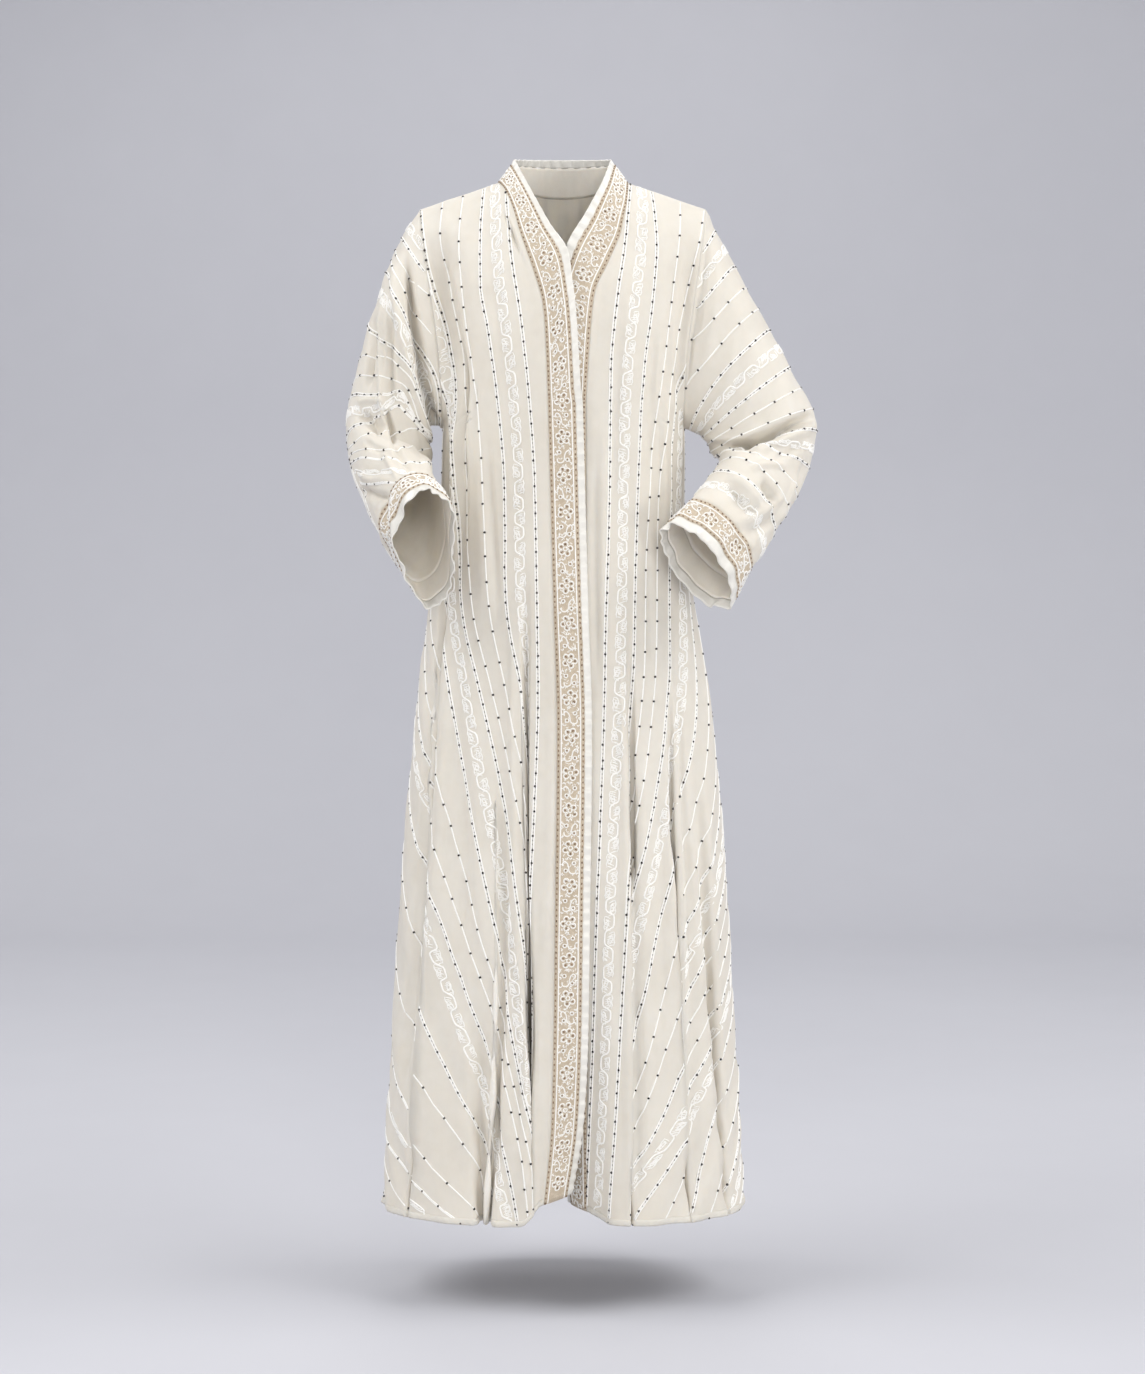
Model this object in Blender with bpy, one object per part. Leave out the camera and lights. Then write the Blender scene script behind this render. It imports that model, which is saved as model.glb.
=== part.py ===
"""Open abaya cloak in worn form: two fronts that lap, a back, two sleeves, trim and satin edges.

Metres, +Z up. X runs to the wearer's left, -Y is the front. The origin lies midway between the
two neck points, on the shoulder line that carries the garment.
Every piece is a cloth wall. Its outer points come from body sections, armholes and sleeve
sections, and its inner points are the same ones moved in by the cloth's thickness.
"""
import bpy
import math
import numpy as np

# ---------------------------------------------------------------- driving sizes
WALL = 0.0016            # cloth with its embroidery
SEAM_GAP = 0.0004        # between two pieces that are sewn together
LAP_DROP = 0.0045        # the left front lies this far under the right front
BAND_WIDTH = 0.036       # embroidered band, bead row to bead row
EDGE_WIDTH = 0.009       # satin edge beside the band
TRIM_BULGE = 0.0015      # crown of the trim across its width
CUFF_BAND = 0.036
CUFF_EDGE = 0.014
NECK_HALF = 0.0866       # half the distance between the neck points
SHOULDER_HALF = 0.190    # neck centre to shoulder tip
SHOULDER_FALL = 0.035    # drop of the shoulder seam to its tip
NAPE_RISE = 0.045        # rise of the upper back between the neck points
UNDERARM = 0.327         # drop from the shoulder line to the underarm
HEM = 1.357              # drop of the hem at the front and the sides
BACK_SAG = 0.019         # the back hem hangs this much lower
SAG_REACH = 0.12         # depth behind the shoulder line at which it hangs fully
EDGE_RISE = {-1: 0.026, 1: 0.008}    # each front's free edge is held this much higher at the hem
RISE_FROM = 1.10         # drop from which that edge rises
RISE_REACH = 0.030       # width of the front that rises with it
FOLD_TOP = 0.40          # no skirt fold starts above this drop
FOLD_NARROW = 0.7        # width of a fold where it starts, as a share of its width at the hem
LAP_FROM = 0.05          # drop at which the left front starts to pass under the right one
LAP_OVER = 0.06          # and the length over which it does
LAP_REACH = 0.040        # width of the left front that is held in
EDGE_LIFT = 0.3          # share of an edge's rise that the trim takes across its width
ROUNDNESS = 2.3          # exponent of the body sections
ARMHOLE_LIMIT = 0.93     # the armhole's edge stands out at most this share of a section's depth

# Body sections: drop below the shoulder line, half widths, depth of the front and of the back.
BODY = [
    # drop,  right, left,  front, back
    (0.000, 0.190, 0.190, 0.000, 0.000),
    (0.010, 0.189, 0.189, 0.026, 0.027),
    (0.030, 0.187, 0.187, 0.045, 0.048),
    (0.060, 0.183, 0.183, 0.063, 0.068),
    (0.100, 0.178, 0.178, 0.081, 0.087),
    (0.150, 0.172, 0.172, 0.098, 0.100),
    (0.210, 0.165, 0.165, 0.110, 0.105),
    (0.270, 0.161, 0.161, 0.114, 0.103),
    (0.327, 0.160, 0.160, 0.113, 0.098),
    (0.430, 0.162, 0.160, 0.110, 0.093),
    (0.560, 0.178, 0.174, 0.114, 0.098),
    (0.720, 0.197, 0.200, 0.121, 0.108),
    (0.950, 0.217, 0.219, 0.128, 0.118),
    (1.160, 0.229, 0.230, 0.132, 0.125),
    (1.357, 0.239, 0.241, 0.136, 0.131),
]

# Armhole: how far its edge stands in front of and behind the shoulder seam.
ARMHOLE = [
    # drop,  front, back
    (0.000, 0.000, 0.000),
    (0.010, 0.019, 0.019),
    (0.030, 0.033, 0.034),
    (0.060, 0.044, 0.046),
    (0.100, 0.052, 0.054),
    (0.150, 0.057, 0.058),
    (0.210, 0.058, 0.058),
    (0.270, 0.051, 0.051),
    (0.305, 0.036, 0.036),
    (0.327, 0.000, 0.000),
]

# Seam between each front and its band, and the free side of its satin edge around the neck.
NECKLINE_RIGHT = [
    # drop,  seam x, free x, free y,  free z
    (0.000, -0.0866, -0.0640, 0.000, 0.032),
    (0.030, -0.0745, -0.0480, -0.040, -0.004),
    (0.060, -0.0655, -0.0330, -0.060, -0.034),
    (0.098, -0.0557, -0.0165, -0.078, -0.066),
    (0.155, -0.0365, 0.0075, -0.097, -0.106),
    (0.185, -0.0267, 0.0130, -0.107, -0.146),
    (0.215, -0.0228, 0.0168, -0.112, -0.176),
    (0.300, -0.0190, 0.0238, -0.1135, -0.290),
]
NECKLINE_LEFT = [
    # drop,  seam x, free x, free y,  free z
    (0.000, 0.0866, 0.0640, 0.000, 0.032),
    (0.030, 0.0850, 0.0540, -0.040, 0.000),
    (0.060, 0.0800, 0.0410, -0.058, -0.028),
    (0.085, 0.0759, 0.0300, -0.070, -0.050),
    (0.135, 0.0587, 0.0065, -0.0865, -0.092),
    (0.175, 0.0417, -0.0070, -0.097, -0.138),
    (0.215, 0.0365, -0.0120, -0.105, -0.176),
    (0.300, 0.0300, -0.0150, -0.109, -0.290),
]

# Below the neckline: place of the seam beside the band, how far that seam stands in, and how
# far the band turns in about it, in degrees.
FRONT_EDGE_RIGHT = [
    # drop,  seam x,  stand in, turn
    (0.300, -0.0190, 0.000, 0.0),
    (0.560, -0.0120, 0.000, 0.0),
    (0.720, -0.0072, 0.000, 0.0),
    (0.980, -0.0100, 0.000, 0.0),
    (1.100, -0.0115, 0.001, 5.0),
    (1.200, -0.0135, 0.004, 14.0),
    (1.357, -0.0190, 0.012, 34.0),
]
FRONT_EDGE_LEFT = [
    # drop,  seam x, stand in, turn
    (0.300, 0.0300, 0.000, 0.0),
    (0.560, 0.0300, 0.000, 0.0),
    (0.720, 0.0310, 0.000, 0.0),
    (0.900, 0.0320, 0.000, 0.0),
    (1.000, 0.0320, 0.004, 4.0),
    (1.100, 0.0320, 0.010, 14.0),
    (1.200, 0.0320, 0.020, 26.0),
    (1.357, 0.0330, 0.045, 58.0),
]

# Hanging folds: each is a valley that deepens to the hem. Places are front-view x.
FOLDS_RIGHT = [
    # starts, x_top,  x_hem,  depth, half width, growth
    (0.43, -0.0500, -0.0385, 0.102, 0.0130, 1.35),
    (0.74, -0.0730, -0.0800, 0.022, 0.0120, 1.10),
    (0.95, -0.1060, -0.1080, 0.030, 0.0260, 1.30),
    (0.42, -0.1480, -0.2010, 0.072, 0.0150, 1.00),
]
FOLDS_LEFT = [
    # starts, x_top,  x_hem,  depth, half width, growth
    (0.50, 0.0840, 0.0890, 0.098, 0.0150, 1.70),
    (0.60, 0.1300, 0.1640, 0.076, 0.0150, 1.40),
    (0.70, 0.1480, 0.2150, 0.034, 0.0180, 1.30),
]
FOLDS_BACK = [
    # starts, x_top,  x_hem,  depth, half width, growth
    (0.52, -0.1280, -0.1840, 0.070, 0.0160, 1.20),
    (0.66, -0.0860, -0.1190, 0.052, 0.0200, 1.45),
    (0.44, -0.0420, -0.0480, 0.088, 0.0170, 1.30),
    (0.72, 0.0180, 0.0220, 0.050, 0.0210, 1.60),
    (0.47, 0.0700, 0.0960, 0.090, 0.0170, 1.15),
    (0.60, 0.1260, 0.1690, 0.068, 0.0180, 1.35),
]

# Sleeve sections from below the armhole to the cuff: centre, then the half axes that point
# outward, to the front (on the forearm: up or forward) and to the back.
SLEEVE_RIGHT = [
    # centre,                    outward,                  front,                    back
    ((-0.201, 0.000, -0.205), (-0.019, 0.000, 0.121), (0.000, -0.064, 0.000), (0.000, 0.062, 0.000)),
    ((-0.218, 0.000, -0.253), (-0.035, 0.000, 0.081), (0.000, -0.066, 0.000), (0.000, 0.064, 0.000)),
    ((-0.230, 0.000, -0.305), (-0.047, 0.000, 0.044), (0.000, -0.066, 0.004), (0.000, 0.064, -0.006)),
    ((-0.233, -0.006, -0.350), (-0.055, 0.000, 0.028), (0.000, -0.062, 0.016), (0.000, 0.060, -0.030)),
    ((-0.226, -0.045, -0.388), (-0.050, -0.008, 0.006), (0.004, -0.046, 0.040), (0.000, 0.056, -0.052)),
    ((-0.203, -0.100, -0.432), (-0.043, -0.012, 0.000), (0.005, -0.034, 0.056), (0.001, 0.044, -0.068)),
    ((-0.173, -0.168, -0.490), (-0.036, -0.011, 0.000), (0.005, -0.030, 0.073), (0.006, 0.036, -0.074)),
]
SLEEVE_LEFT = [
    # centre,                    outward,                  front,                    back
    ((0.197, 0.000, -0.216), (0.027, 0.000, 0.114), (0.000, -0.064, 0.000), (0.000, 0.062, 0.000)),
    ((0.222, 0.000, -0.254), (0.042, 0.000, 0.079), (0.000, -0.067, 0.000), (0.000, 0.065, 0.000)),
    ((0.247, 0.000, -0.296), (0.057, 0.000, 0.047), (0.000, -0.067, 0.000), (0.000, 0.065, 0.000)),
    ((0.269, -0.010, -0.345), (0.068, 0.006, 0.021), (0.004, -0.062, 0.004), (0.000, 0.060, 0.000)),
    ((0.260, -0.038, -0.386), (0.053, 0.008, -0.024), (0.012, -0.053, 0.014), (-0.010, 0.052, -0.014)),
    ((0.237, -0.076, -0.427), (0.039, 0.006, -0.041), (0.020, -0.045, 0.021), (-0.020, 0.044, -0.022)),
    ((0.171, -0.135, -0.514), (0.037, 0.014, -0.051), (0.026, -0.036, 0.009), (-0.026, 0.036, -0.009)),
]

# Rows of every body panel, as drops below the shoulder line, and the columns between the
# stops of its folds: up to a fold, into its valley, out of it, and so on to the next seam.
YOKE_ROWS = (0.0, 0.010, 0.030, 0.060, 0.098, 0.140, 0.185, 0.232, 0.275, 0.307, UNDERARM)
SKIRT_ROWS = 17
COLUMNS_RIGHT = (1, 3, 3, 1, 2, 2, 1, 1, 1, 1, 3, 3, 2)
COLUMNS_LEFT = (3, 3, 3, 2, 2, 2, 1, 1, 1, 2)
COLUMNS_BACK = (2, 2, 2, 1, 2, 2, 1, 2, 2, 1, 2, 2, 1, 2, 2, 1, 2, 2, 2)
NECK_COLUMNS = (9, 24)         # the back's columns between which its neckline runs
NAPE_DROP = 0.052              # drop of the back neckline below the shoulder line's own rise
COLLAR_BACK = (0.051, 0.041)   # y and z of the collar's free side at the nape
SLEEVE_RINGS = 12
RING_STEPS = 12                # fine rings between two sleeve sections
ROW_SPREAD = 0.92              # skirt rows lie slightly closer at the hem
TURN_REACH = {-1: 0.016, 1: 0.045}   # width of each front that turns in with its edge
FINE = 200                     # samples of a body section before its columns are chosen


# ---------------------------------------------------------------- small maths
def smooth_step(value):
    value = np.clip(value, 0.0, 1.0)
    return value * value * (3.0 - 2.0 * value)


def table(rows, column, at):
    """A smooth curve without overshoot through one column of a table."""
    keys = np.array([row[0] for row in rows])
    values = np.array([row[column] for row in rows])
    steps = np.diff(values) / np.diff(keys)
    slopes = np.zeros(len(keys))
    slopes[0] = steps[0]
    slopes[-1] = steps[-1]
    for i in range(1, len(keys) - 1):
        if steps[i - 1] * steps[i] > 0.0:
            slopes[i] = 2.0 * steps[i - 1] * steps[i] / (steps[i - 1] + steps[i])
    at = min(max(at, keys[0]), keys[-1])
    i = min(int(np.searchsorted(keys, at, side="right")) - 1, len(keys) - 2)
    width = keys[i + 1] - keys[i]
    s = (at - keys[i]) / width
    return ((1 + 2 * s) * (1 - s) ** 2 * values[i] + s * s * (3 - 2 * s) * values[i + 1]
            + width * (s * (1 - s) ** 2 * slopes[i] - s * s * (1 - s) * slopes[i + 1]))


def unit(vectors):
    length = np.linalg.norm(vectors, axis=-1, keepdims=True)
    return vectors / np.maximum(length, 1e-12)


def travelled(points):
    """Length along a polyline at each of its points."""
    steps = np.linalg.norm(np.diff(points, axis=0), axis=1)
    return np.concatenate(([0.0], np.cumsum(steps)))


# ---------------------------------------------------------------- the worn body
def height(drop, x, y):
    """World height of a point that lies drop below the shoulder line."""
    reach = np.abs(x)
    slope = -SHOULDER_FALL * (reach - NECK_HALF) / (SHOULDER_HALF - NECK_HALF)
    rise = NAPE_RISE * (1.0 - (reach / NECK_HALF) ** 2)
    line = np.where(reach > NECK_HALF, slope, rise)
    skirt = np.clip((drop - UNDERARM) / (HEM - UNDERARM), 0.0, 1.0)
    sag = BACK_SAG * skirt * smooth_step(y / SAG_REACH)
    return -drop + line * (1.0 - smooth_step(drop / UNDERARM)) - sag


def half_width(drop, sign):
    return table(BODY, 1 if sign < 0 else 2, drop)


def section_size(drop, face, sign):
    """Half width and depth of the body section that passes through the armhole's edge."""
    depth = table(BODY, 3 if face < 0 else 4, drop)
    reach = table(ARMHOLE, 1 if face < 0 else 2, drop)
    if depth < 1e-9:
        return half_width(drop, sign), 0.0
    inset = 1.0 - min(reach / depth, ARMHOLE_LIMIT) ** ROUNDNESS
    return half_width(drop, sign) / inset ** (1.0 / ROUNDNESS), depth


def on_section(drop, face, x):
    """The point of the body section at a place x, before any fold."""
    half, depth = section_size(drop, face, -1 if x < 0 else 1)
    share = min(abs(x) / half, 1.0)
    y = face * depth * (1.0 - share ** ROUNDNESS) ** (1.0 / ROUNDNESS)
    return np.array((x, y, float(height(drop, x, y))))


def section(drop, face, x_from, x_to):
    """Points (x, y) along one face of the body section, evenly spaced in its angle."""
    right, depth = section_size(drop, face, -1)
    left = section_size(drop, face, 1)[0]
    if depth < 1e-9:
        return np.column_stack((np.linspace(x_from, x_to, FINE), np.zeros(FINE)))
    ends = []
    for x in (x_from, x_to):
        share = min(abs(x) / (right if x < 0 else left), 1.0)
        ends.append(math.copysign(math.asin(share ** (ROUNDNESS / 2)), x))
    angle = np.linspace(ends[0], ends[1], FINE)
    half = np.where(angle < 0, right, left)
    x = np.sign(angle) * half * np.abs(np.sin(angle)) ** (2 / ROUNDNESS)
    y = face * depth * np.abs(np.cos(angle)) ** (2 / ROUNDNESS)
    return np.column_stack((x, y))


def fold_at(fold, drop):
    """Place, depth and half width of one hanging fold at a drop."""
    starts, x_top, x_hem, depth, width, growth = fold
    share = min(max((drop - starts) / (HEM - starts), 0.0), 1.0)
    along = min(max((drop - FOLD_TOP) / (HEM - FOLD_TOP), 0.0), 1.0)
    grown = share ** growth * smooth_step(share * 4.0)
    return x_top + (x_hem - x_top) * along, depth * grown, width * (FOLD_NARROW + (1.0 - FOLD_NARROW) * along)


def folded_row(drop, face, x_from, x_to, folds, counts, stand_in):
    """A body section with its folds: x, y and the unfolded x of each column."""
    flat = section(drop, face, x_from, x_to)
    along = travelled(flat)
    tangent = unit(np.gradient(flat, axis=0))
    outward = np.column_stack((tangent[:, 1], -tangent[:, 0]))
    outward *= math.copysign(1.0, outward[FINE // 2, 1] * face)
    push = -stand_in(along)
    direction = math.copysign(1.0, x_to - x_from)
    stops = [0.0]
    for fold in folds:
        x, depth, width = fold_at(fold, drop)
        place = np.interp(direction * x, direction * flat[:, 0], along)
        offset = np.clip((along - place) / width, -1.0, 1.0)
        push -= depth * np.cos(offset * math.pi / 2) ** 2
        stops += [place - width, place, place + width]
    stops.append(along[-1])
    folded = flat + outward * push[:, None]
    spent = travelled(folded)
    marks = np.interp(stops, along, spent)
    columns = [np.linspace(marks[i], marks[i + 1], n, endpoint=False)
               for i, n in enumerate(counts)]
    columns = np.concatenate(columns + [marks[-1:]])
    return columns / spent[-1], spent, folded, flat


def panel_row(drop, face, ends, folds, counts, stand_in, top_shares):
    """One row of a panel. Above the waist its columns spread evenly towards the shoulder."""
    low = max(drop, FOLD_TOP)
    shares = folded_row(low, face, *ends(low), folds, counts, stand_in(low))[0]
    _, spent, folded, flat = folded_row(drop, face, *ends(drop), folds, counts, stand_in(drop))
    settle = smooth_step(drop / FOLD_TOP)
    at = (top_shares * (1.0 - settle) + shares * settle) * spent[-1]
    x = np.interp(at, spent, folded[:, 0])
    y = np.interp(at, spent, folded[:, 1])
    flat_x = np.interp(at, spent, flat[:, 0])
    return np.column_stack((x, y, height(drop, flat_x, y))), flat_x


def row_drops():
    skirt = np.linspace(0.0, 1.0, SKIRT_ROWS + 1)[1:]
    return list(YOKE_ROWS) + [UNDERARM + (HEM - UNDERARM) * s ** ROW_SPREAD for s in skirt]


# ---------------------------------------------------------------- panels
def edge_place(sign, drop):
    """Where a front meets its band: x, how far that seam stands in, and the band's turn."""
    neckline = NECKLINE_RIGHT if sign < 0 else NECKLINE_LEFT
    edge = FRONT_EDGE_RIGHT if sign < 0 else FRONT_EDGE_LEFT
    if drop < edge[0][0]:
        return table(neckline, 1, drop), 0.0, 0.0
    return tuple(table(edge, column, drop) for column in (1, 2, 3))


def lap(sign, drop):
    """How far the under front is held in beneath the upper one."""
    return LAP_DROP * smooth_step((drop - LAP_FROM) / LAP_OVER) if sign > 0 else 0.0


def edge_rise(sign, drop):
    return EDGE_RISE[sign] * smooth_step((drop - RISE_FROM) / (HEM - RISE_FROM))


def front_panel(sign):
    """A front, from its band seam to the shoulder, armhole and side seam."""
    folds = FOLDS_RIGHT if sign < 0 else FOLDS_LEFT
    counts = COLUMNS_RIGHT if sign < 0 else COLUMNS_LEFT

    def ends(drop):
        return edge_place(sign, drop)[0], sign * half_width(drop, sign)

    def stand_in(drop):
        turned, under = edge_place(sign, drop)[1], lap(sign, drop)
        return lambda along: (turned * (1.0 - smooth_step(along / TURN_REACH[sign]))
                              + under * (1.0 - smooth_step(along / LAP_REACH)))

    top = np.linspace(0.0, 1.0, sum(counts) + 1)
    rows = [panel_row(drop, -1, ends, folds, counts, stand_in, top)[0] for drop in row_drops()]
    for drop, row in zip(row_drops(), rows):
        from_edge = np.abs(row[:, 0] - row[0, 0])
        row[:, 2] += edge_rise(sign, drop) * (1.0 - smooth_step(from_edge / RISE_REACH))
    return np.array(rows)


def back_panel():
    """The back, from the right armhole and side round to the left, up to the back neckline."""
    first, last = NECK_COLUMNS
    count = sum(COLUMNS_BACK)
    neck = NECK_HALF / (2 * SHOULDER_HALF)
    top = np.interp(np.arange(count + 1), (0, first, last, count), (0.0, 0.5 - neck, 0.5 + neck, 1.0))
    top[first:last + 1] = 0.5 - neck * np.cos(np.linspace(0.0, math.pi, last - first + 1))

    def ends(drop):
        return -half_width(drop, -1), half_width(drop, 1)

    def stand_in(drop):
        return lambda along: np.zeros(len(along))

    rows = []
    for drop in row_drops():
        row, flat_x = panel_row(drop, 1, ends, FOLDS_BACK, COLUMNS_BACK, stand_in, top)
        lowered = NAPE_DROP * (1.0 - np.minimum(np.abs(flat_x) / NECK_HALF, 1.0) ** 2)
        if drop < FOLD_TOP / 2:
            settle = 1.0 - smooth_step(drop / (FOLD_TOP / 2))
            for i in np.nonzero(lowered > 1e-9)[0]:
                row[i] = on_section(drop + lowered[i] * settle, 1, flat_x[i])
        rows.append(row)
    return np.array(rows)


# ---------------------------------------------------------------- trim along the fronts
def trim_rails(sign, panel):
    """Seam side and free side of the trim, one point each for every row of its front."""
    neckline = NECKLINE_RIGHT if sign < 0 else NECKLINE_LEFT
    seam_side = panel[:, 0]
    free_side = []
    for drop, seam in zip(row_drops(), seam_side):
        if drop < neckline[-1][0]:
            free_side.append(np.array([table(neckline, column, drop) for column in (2, 3, 4)]))
            continue
        width = BAND_WIDTH + EDGE_WIDTH
        x_free = edge_place(sign, drop)[0] - sign * width
        turn = math.radians(edge_place(sign, drop)[2])
        chord = on_section(drop, -1, x_free) - on_section(drop, -1, x_free + sign * width)
        angle = math.atan2(chord[1], -sign * chord[0]) + turn
        lift = EDGE_LIFT * edge_rise(sign, drop) / width
        step = np.array((-sign * math.cos(angle), math.sin(angle), lift)) * width
        free_side.append(seam + step)
    return seam_side, np.array(free_side)


def trim_strip(seam_side, free_side, shares, bulge):
    """Rows of a strip between two rails, crowned across its width by bulge at each row."""
    along = unit(np.gradient(seam_side, axis=0))
    across = unit(free_side - seam_side)
    crown = unit(np.cross(along, across))
    if np.sum(crown * ((seam_side + free_side) / 2 * (1, 1, 0))) < 0:
        crown = -crown
    columns = [seam_side + (free_side - seam_side) * share
               + crown * bulge[:, None] * 4 * share * (1 - share) for share in shares]
    return np.stack(columns, axis=1)


def neck_rails(back):
    """The same rails round the back of the neck."""
    first, last = NECK_COLUMNS
    seam_side = back[0, first:last + 1]
    angles = np.linspace(math.pi, 0.0, last - first + 1)
    side_x, side_z = NECKLINE_RIGHT[0][2], NECKLINE_RIGHT[0][4]
    nape_y, nape_z = COLLAR_BACK
    free_side = np.column_stack((-side_x * np.cos(angles), nape_y * np.sin(angles),
                                 side_z + (nape_z - side_z) * np.sin(angles)))
    return seam_side, free_side


# ---------------------------------------------------------------- sleeves
def armhole_loop(front, back, sign):
    """The armhole's edge: down the front from the shoulder tip, and up the back."""
    last = len(YOKE_ROWS) - 1
    column = 0 if sign < 0 else -1
    return np.array(list(front[:last + 1, -1]) + list(back[last - 1:0:-1, column]))


def sleeve_rings(loop, sections):
    """Fine rings along a sleeve, from its armhole to the end of its cuff."""
    half = len(YOKE_ROWS) - 1
    down = travelled(loop[:half + 1])
    up = travelled(np.vstack((loop[half:], loop[:1])))
    uneven = np.concatenate((math.pi * down / down[-1],
                             math.pi + math.pi * up[1:-1] / up[-1]))
    even = np.linspace(0.0, 2 * math.pi, len(loop), endpoint=False)
    rings = [loop]
    for i, (centre, outward, front, back) in enumerate(sections):
        angle = uneven + (even - uneven) * (i + 1) / len(sections)
        rise = np.sin(angle)
        side = np.where(rise[:, None] > 0, np.array(front), -np.array(back))
        rings.append(np.array(centre) + np.cos(angle)[:, None] * np.array(outward)
                     + rise[:, None] * side)
    rings = np.array(rings)
    before = np.vstack((2 * rings[:1] - rings[1:2], rings[:-1]))
    after = np.vstack((rings[1:], 2 * rings[-1:] - rings[-2:-1]))
    slopes = (after - before) / 2
    fine = []
    for i in range(len(rings) - 1):
        for s in np.linspace(0.0, 1.0, RING_STEPS, endpoint=False):
            fine.append((1 + 2 * s) * (1 - s) ** 2 * rings[i] + s * s * (3 - 2 * s) * rings[i + 1]
                        + s * (1 - s) ** 2 * slopes[i] - s * s * (1 - s) * slopes[i + 1])
    fine.append(rings[-1])
    return np.array(fine)


def rings_between(fine, start, end, count):
    """Rings of a sleeve from start (None: its armhole) to end, lengths back from its cuff's end."""
    length = travelled(fine.mean(axis=1))
    first = 0.0 if start is None else length[-1] - start
    at = np.linspace(first, length[-1] - end, count)
    flat = fine.reshape(len(fine), -1)
    rows = [[np.interp(a, length, flat[:, k]) for k in range(flat.shape[1])] for a in at]
    return np.array(rows).reshape(count, fine.shape[1], 3)


# ---------------------------------------------------------------- cloth walls
class Sheet:
    """A grid of outer points, open or closed round, with a normal for each point."""

    def __init__(self, name, points, closed=False):
        self.name = name
        self.points = points
        self.closed = closed
        down = np.gradient(points, axis=0)
        if closed:
            around = np.roll(points, -1, axis=1) - np.roll(points, 1, axis=1)
        else:
            around = np.gradient(points, axis=1)
        self.normals = unit(np.cross(down, around))
        if closed:
            outward = points - points.mean(axis=1, keepdims=True)
        else:
            outward = points * (1.0, 1.0, 0.0)
        self.flipped = bool(np.sum(self.normals * outward) < 0)
        if self.flipped:
            self.normals = -self.normals

    def border(self):
        """Places in the grid that lie on an edge."""
        rows, columns = self.points.shape[:2]
        places = [(i, j) for j in range(columns) for i in (0, rows - 1)]
        if not self.closed:
            places += [(i, j) for i in range(1, rows - 1) for j in (0, columns - 1)]
        return places

    def trimmed(self):
        """Outer points with every edge drawn in by half a seam gap."""
        points = self.points.copy()
        inner = self.points
        points[0] += unit(inner[1] - inner[0]) * SEAM_GAP / 2
        points[-1] += unit(inner[-2] - inner[-1]) * SEAM_GAP / 2
        if not self.closed:
            points[:, 0] += unit(inner[:, 1] - inner[:, 0]) * SEAM_GAP / 2
            points[:, -1] += unit(inner[:, -2] - inner[:, -1]) * SEAM_GAP / 2
        return points


def share_normals(sheets):
    """Pieces that meet at a point take one normal there, so that their edges stay parallel."""
    meeting = {}
    for sheet in sheets:
        for i, j in sheet.border():
            key = tuple(np.round(sheet.points[i, j], 5))
            meeting.setdefault(key, []).append((sheet, i, j))
    for (x, y, z), places in meeting.items():
        shared = unit(sum(sheet.normals[i, j] for sheet, i, j in places))
        if abs(y) < 1e-4 and z > -1.01 * SHOULDER_FALL and abs(x) > 0.99 * NECK_HALF:
            fall = math.atan2(SHOULDER_FALL, SHOULDER_HALF - NECK_HALF)
            shared = np.array((math.copysign(math.sin(fall), x), 0.0, math.cos(fall)))
        for sheet, i, j in places:
            sheet.normals[i, j] = shared


def add_wall(sheet, thickness, material):
    """Turn a sheet into one closed wall: outer face, inner face and rims.

    A rim's quads are cut along the diagonal from their higher-placed point, so that the rims of
    two pieces that meet are cut alike and stay parallel.
    """
    outer = sheet.trimmed()
    inner = outer - sheet.normals * thickness
    rows, columns = outer.shape[:2]
    vertices = np.concatenate((outer.reshape(-1, 3), inner.reshape(-1, 3)))
    offset = rows * columns
    spans = columns if sheet.closed else columns - 1
    faces = []
    for i in range(rows - 1):
        for j in range(spans):
            k = (j + 1) % columns
            quad = (i * columns + j, (i + 1) * columns + j, (i + 1) * columns + k, i * columns + k)
            faces.append(quad)
            faces.append(tuple(offset + v for v in reversed(quad)))
    rims = [list(range(columns)),
            [(rows - 1) * columns + j for j in range(columns - 1, -1, -1)]]
    if sheet.closed:
        for rim in rims:
            rim.append(rim[0])
    else:
        rims.append([i * columns for i in range(rows - 1, -1, -1)])
        rims.append([i * columns + columns - 1 for i in range(rows)])
    places = np.round(sheet.points.reshape(-1, 3), 5).tolist()
    for rim in rims:
        for a, b in zip(rim[:-1], rim[1:]):
            inner_a, inner_b = offset + a, offset + b
            if places[a] > places[b]:
                faces += [(a, b, inner_b), (a, inner_b, inner_a)]
            else:
                faces += [(a, b, inner_a), (b, inner_b, inner_a)]
    if sheet.flipped:
        faces = [tuple(reversed(face)) for face in faces]
    mesh = bpy.data.meshes.new(sheet.name)
    mesh.from_pydata(vertices.tolist(), [], faces)
    mesh.validate()
    mesh.shade_smooth()
    mesh.materials.append(material)
    piece = bpy.data.objects.new(sheet.name, mesh)
    bpy.context.scene.collection.objects.link(piece)
    return piece


def add_material(name, colour, roughness):
    material = bpy.data.materials.new(name)
    material.use_nodes = True
    shader = material.node_tree.nodes["Principled BSDF"]
    shader.inputs["Base Color"].default_value = (*colour, 1.0)
    shader.inputs["Roughness"].default_value = roughness
    shader.inputs["Metallic"].default_value = 0.0
    return material


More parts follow.
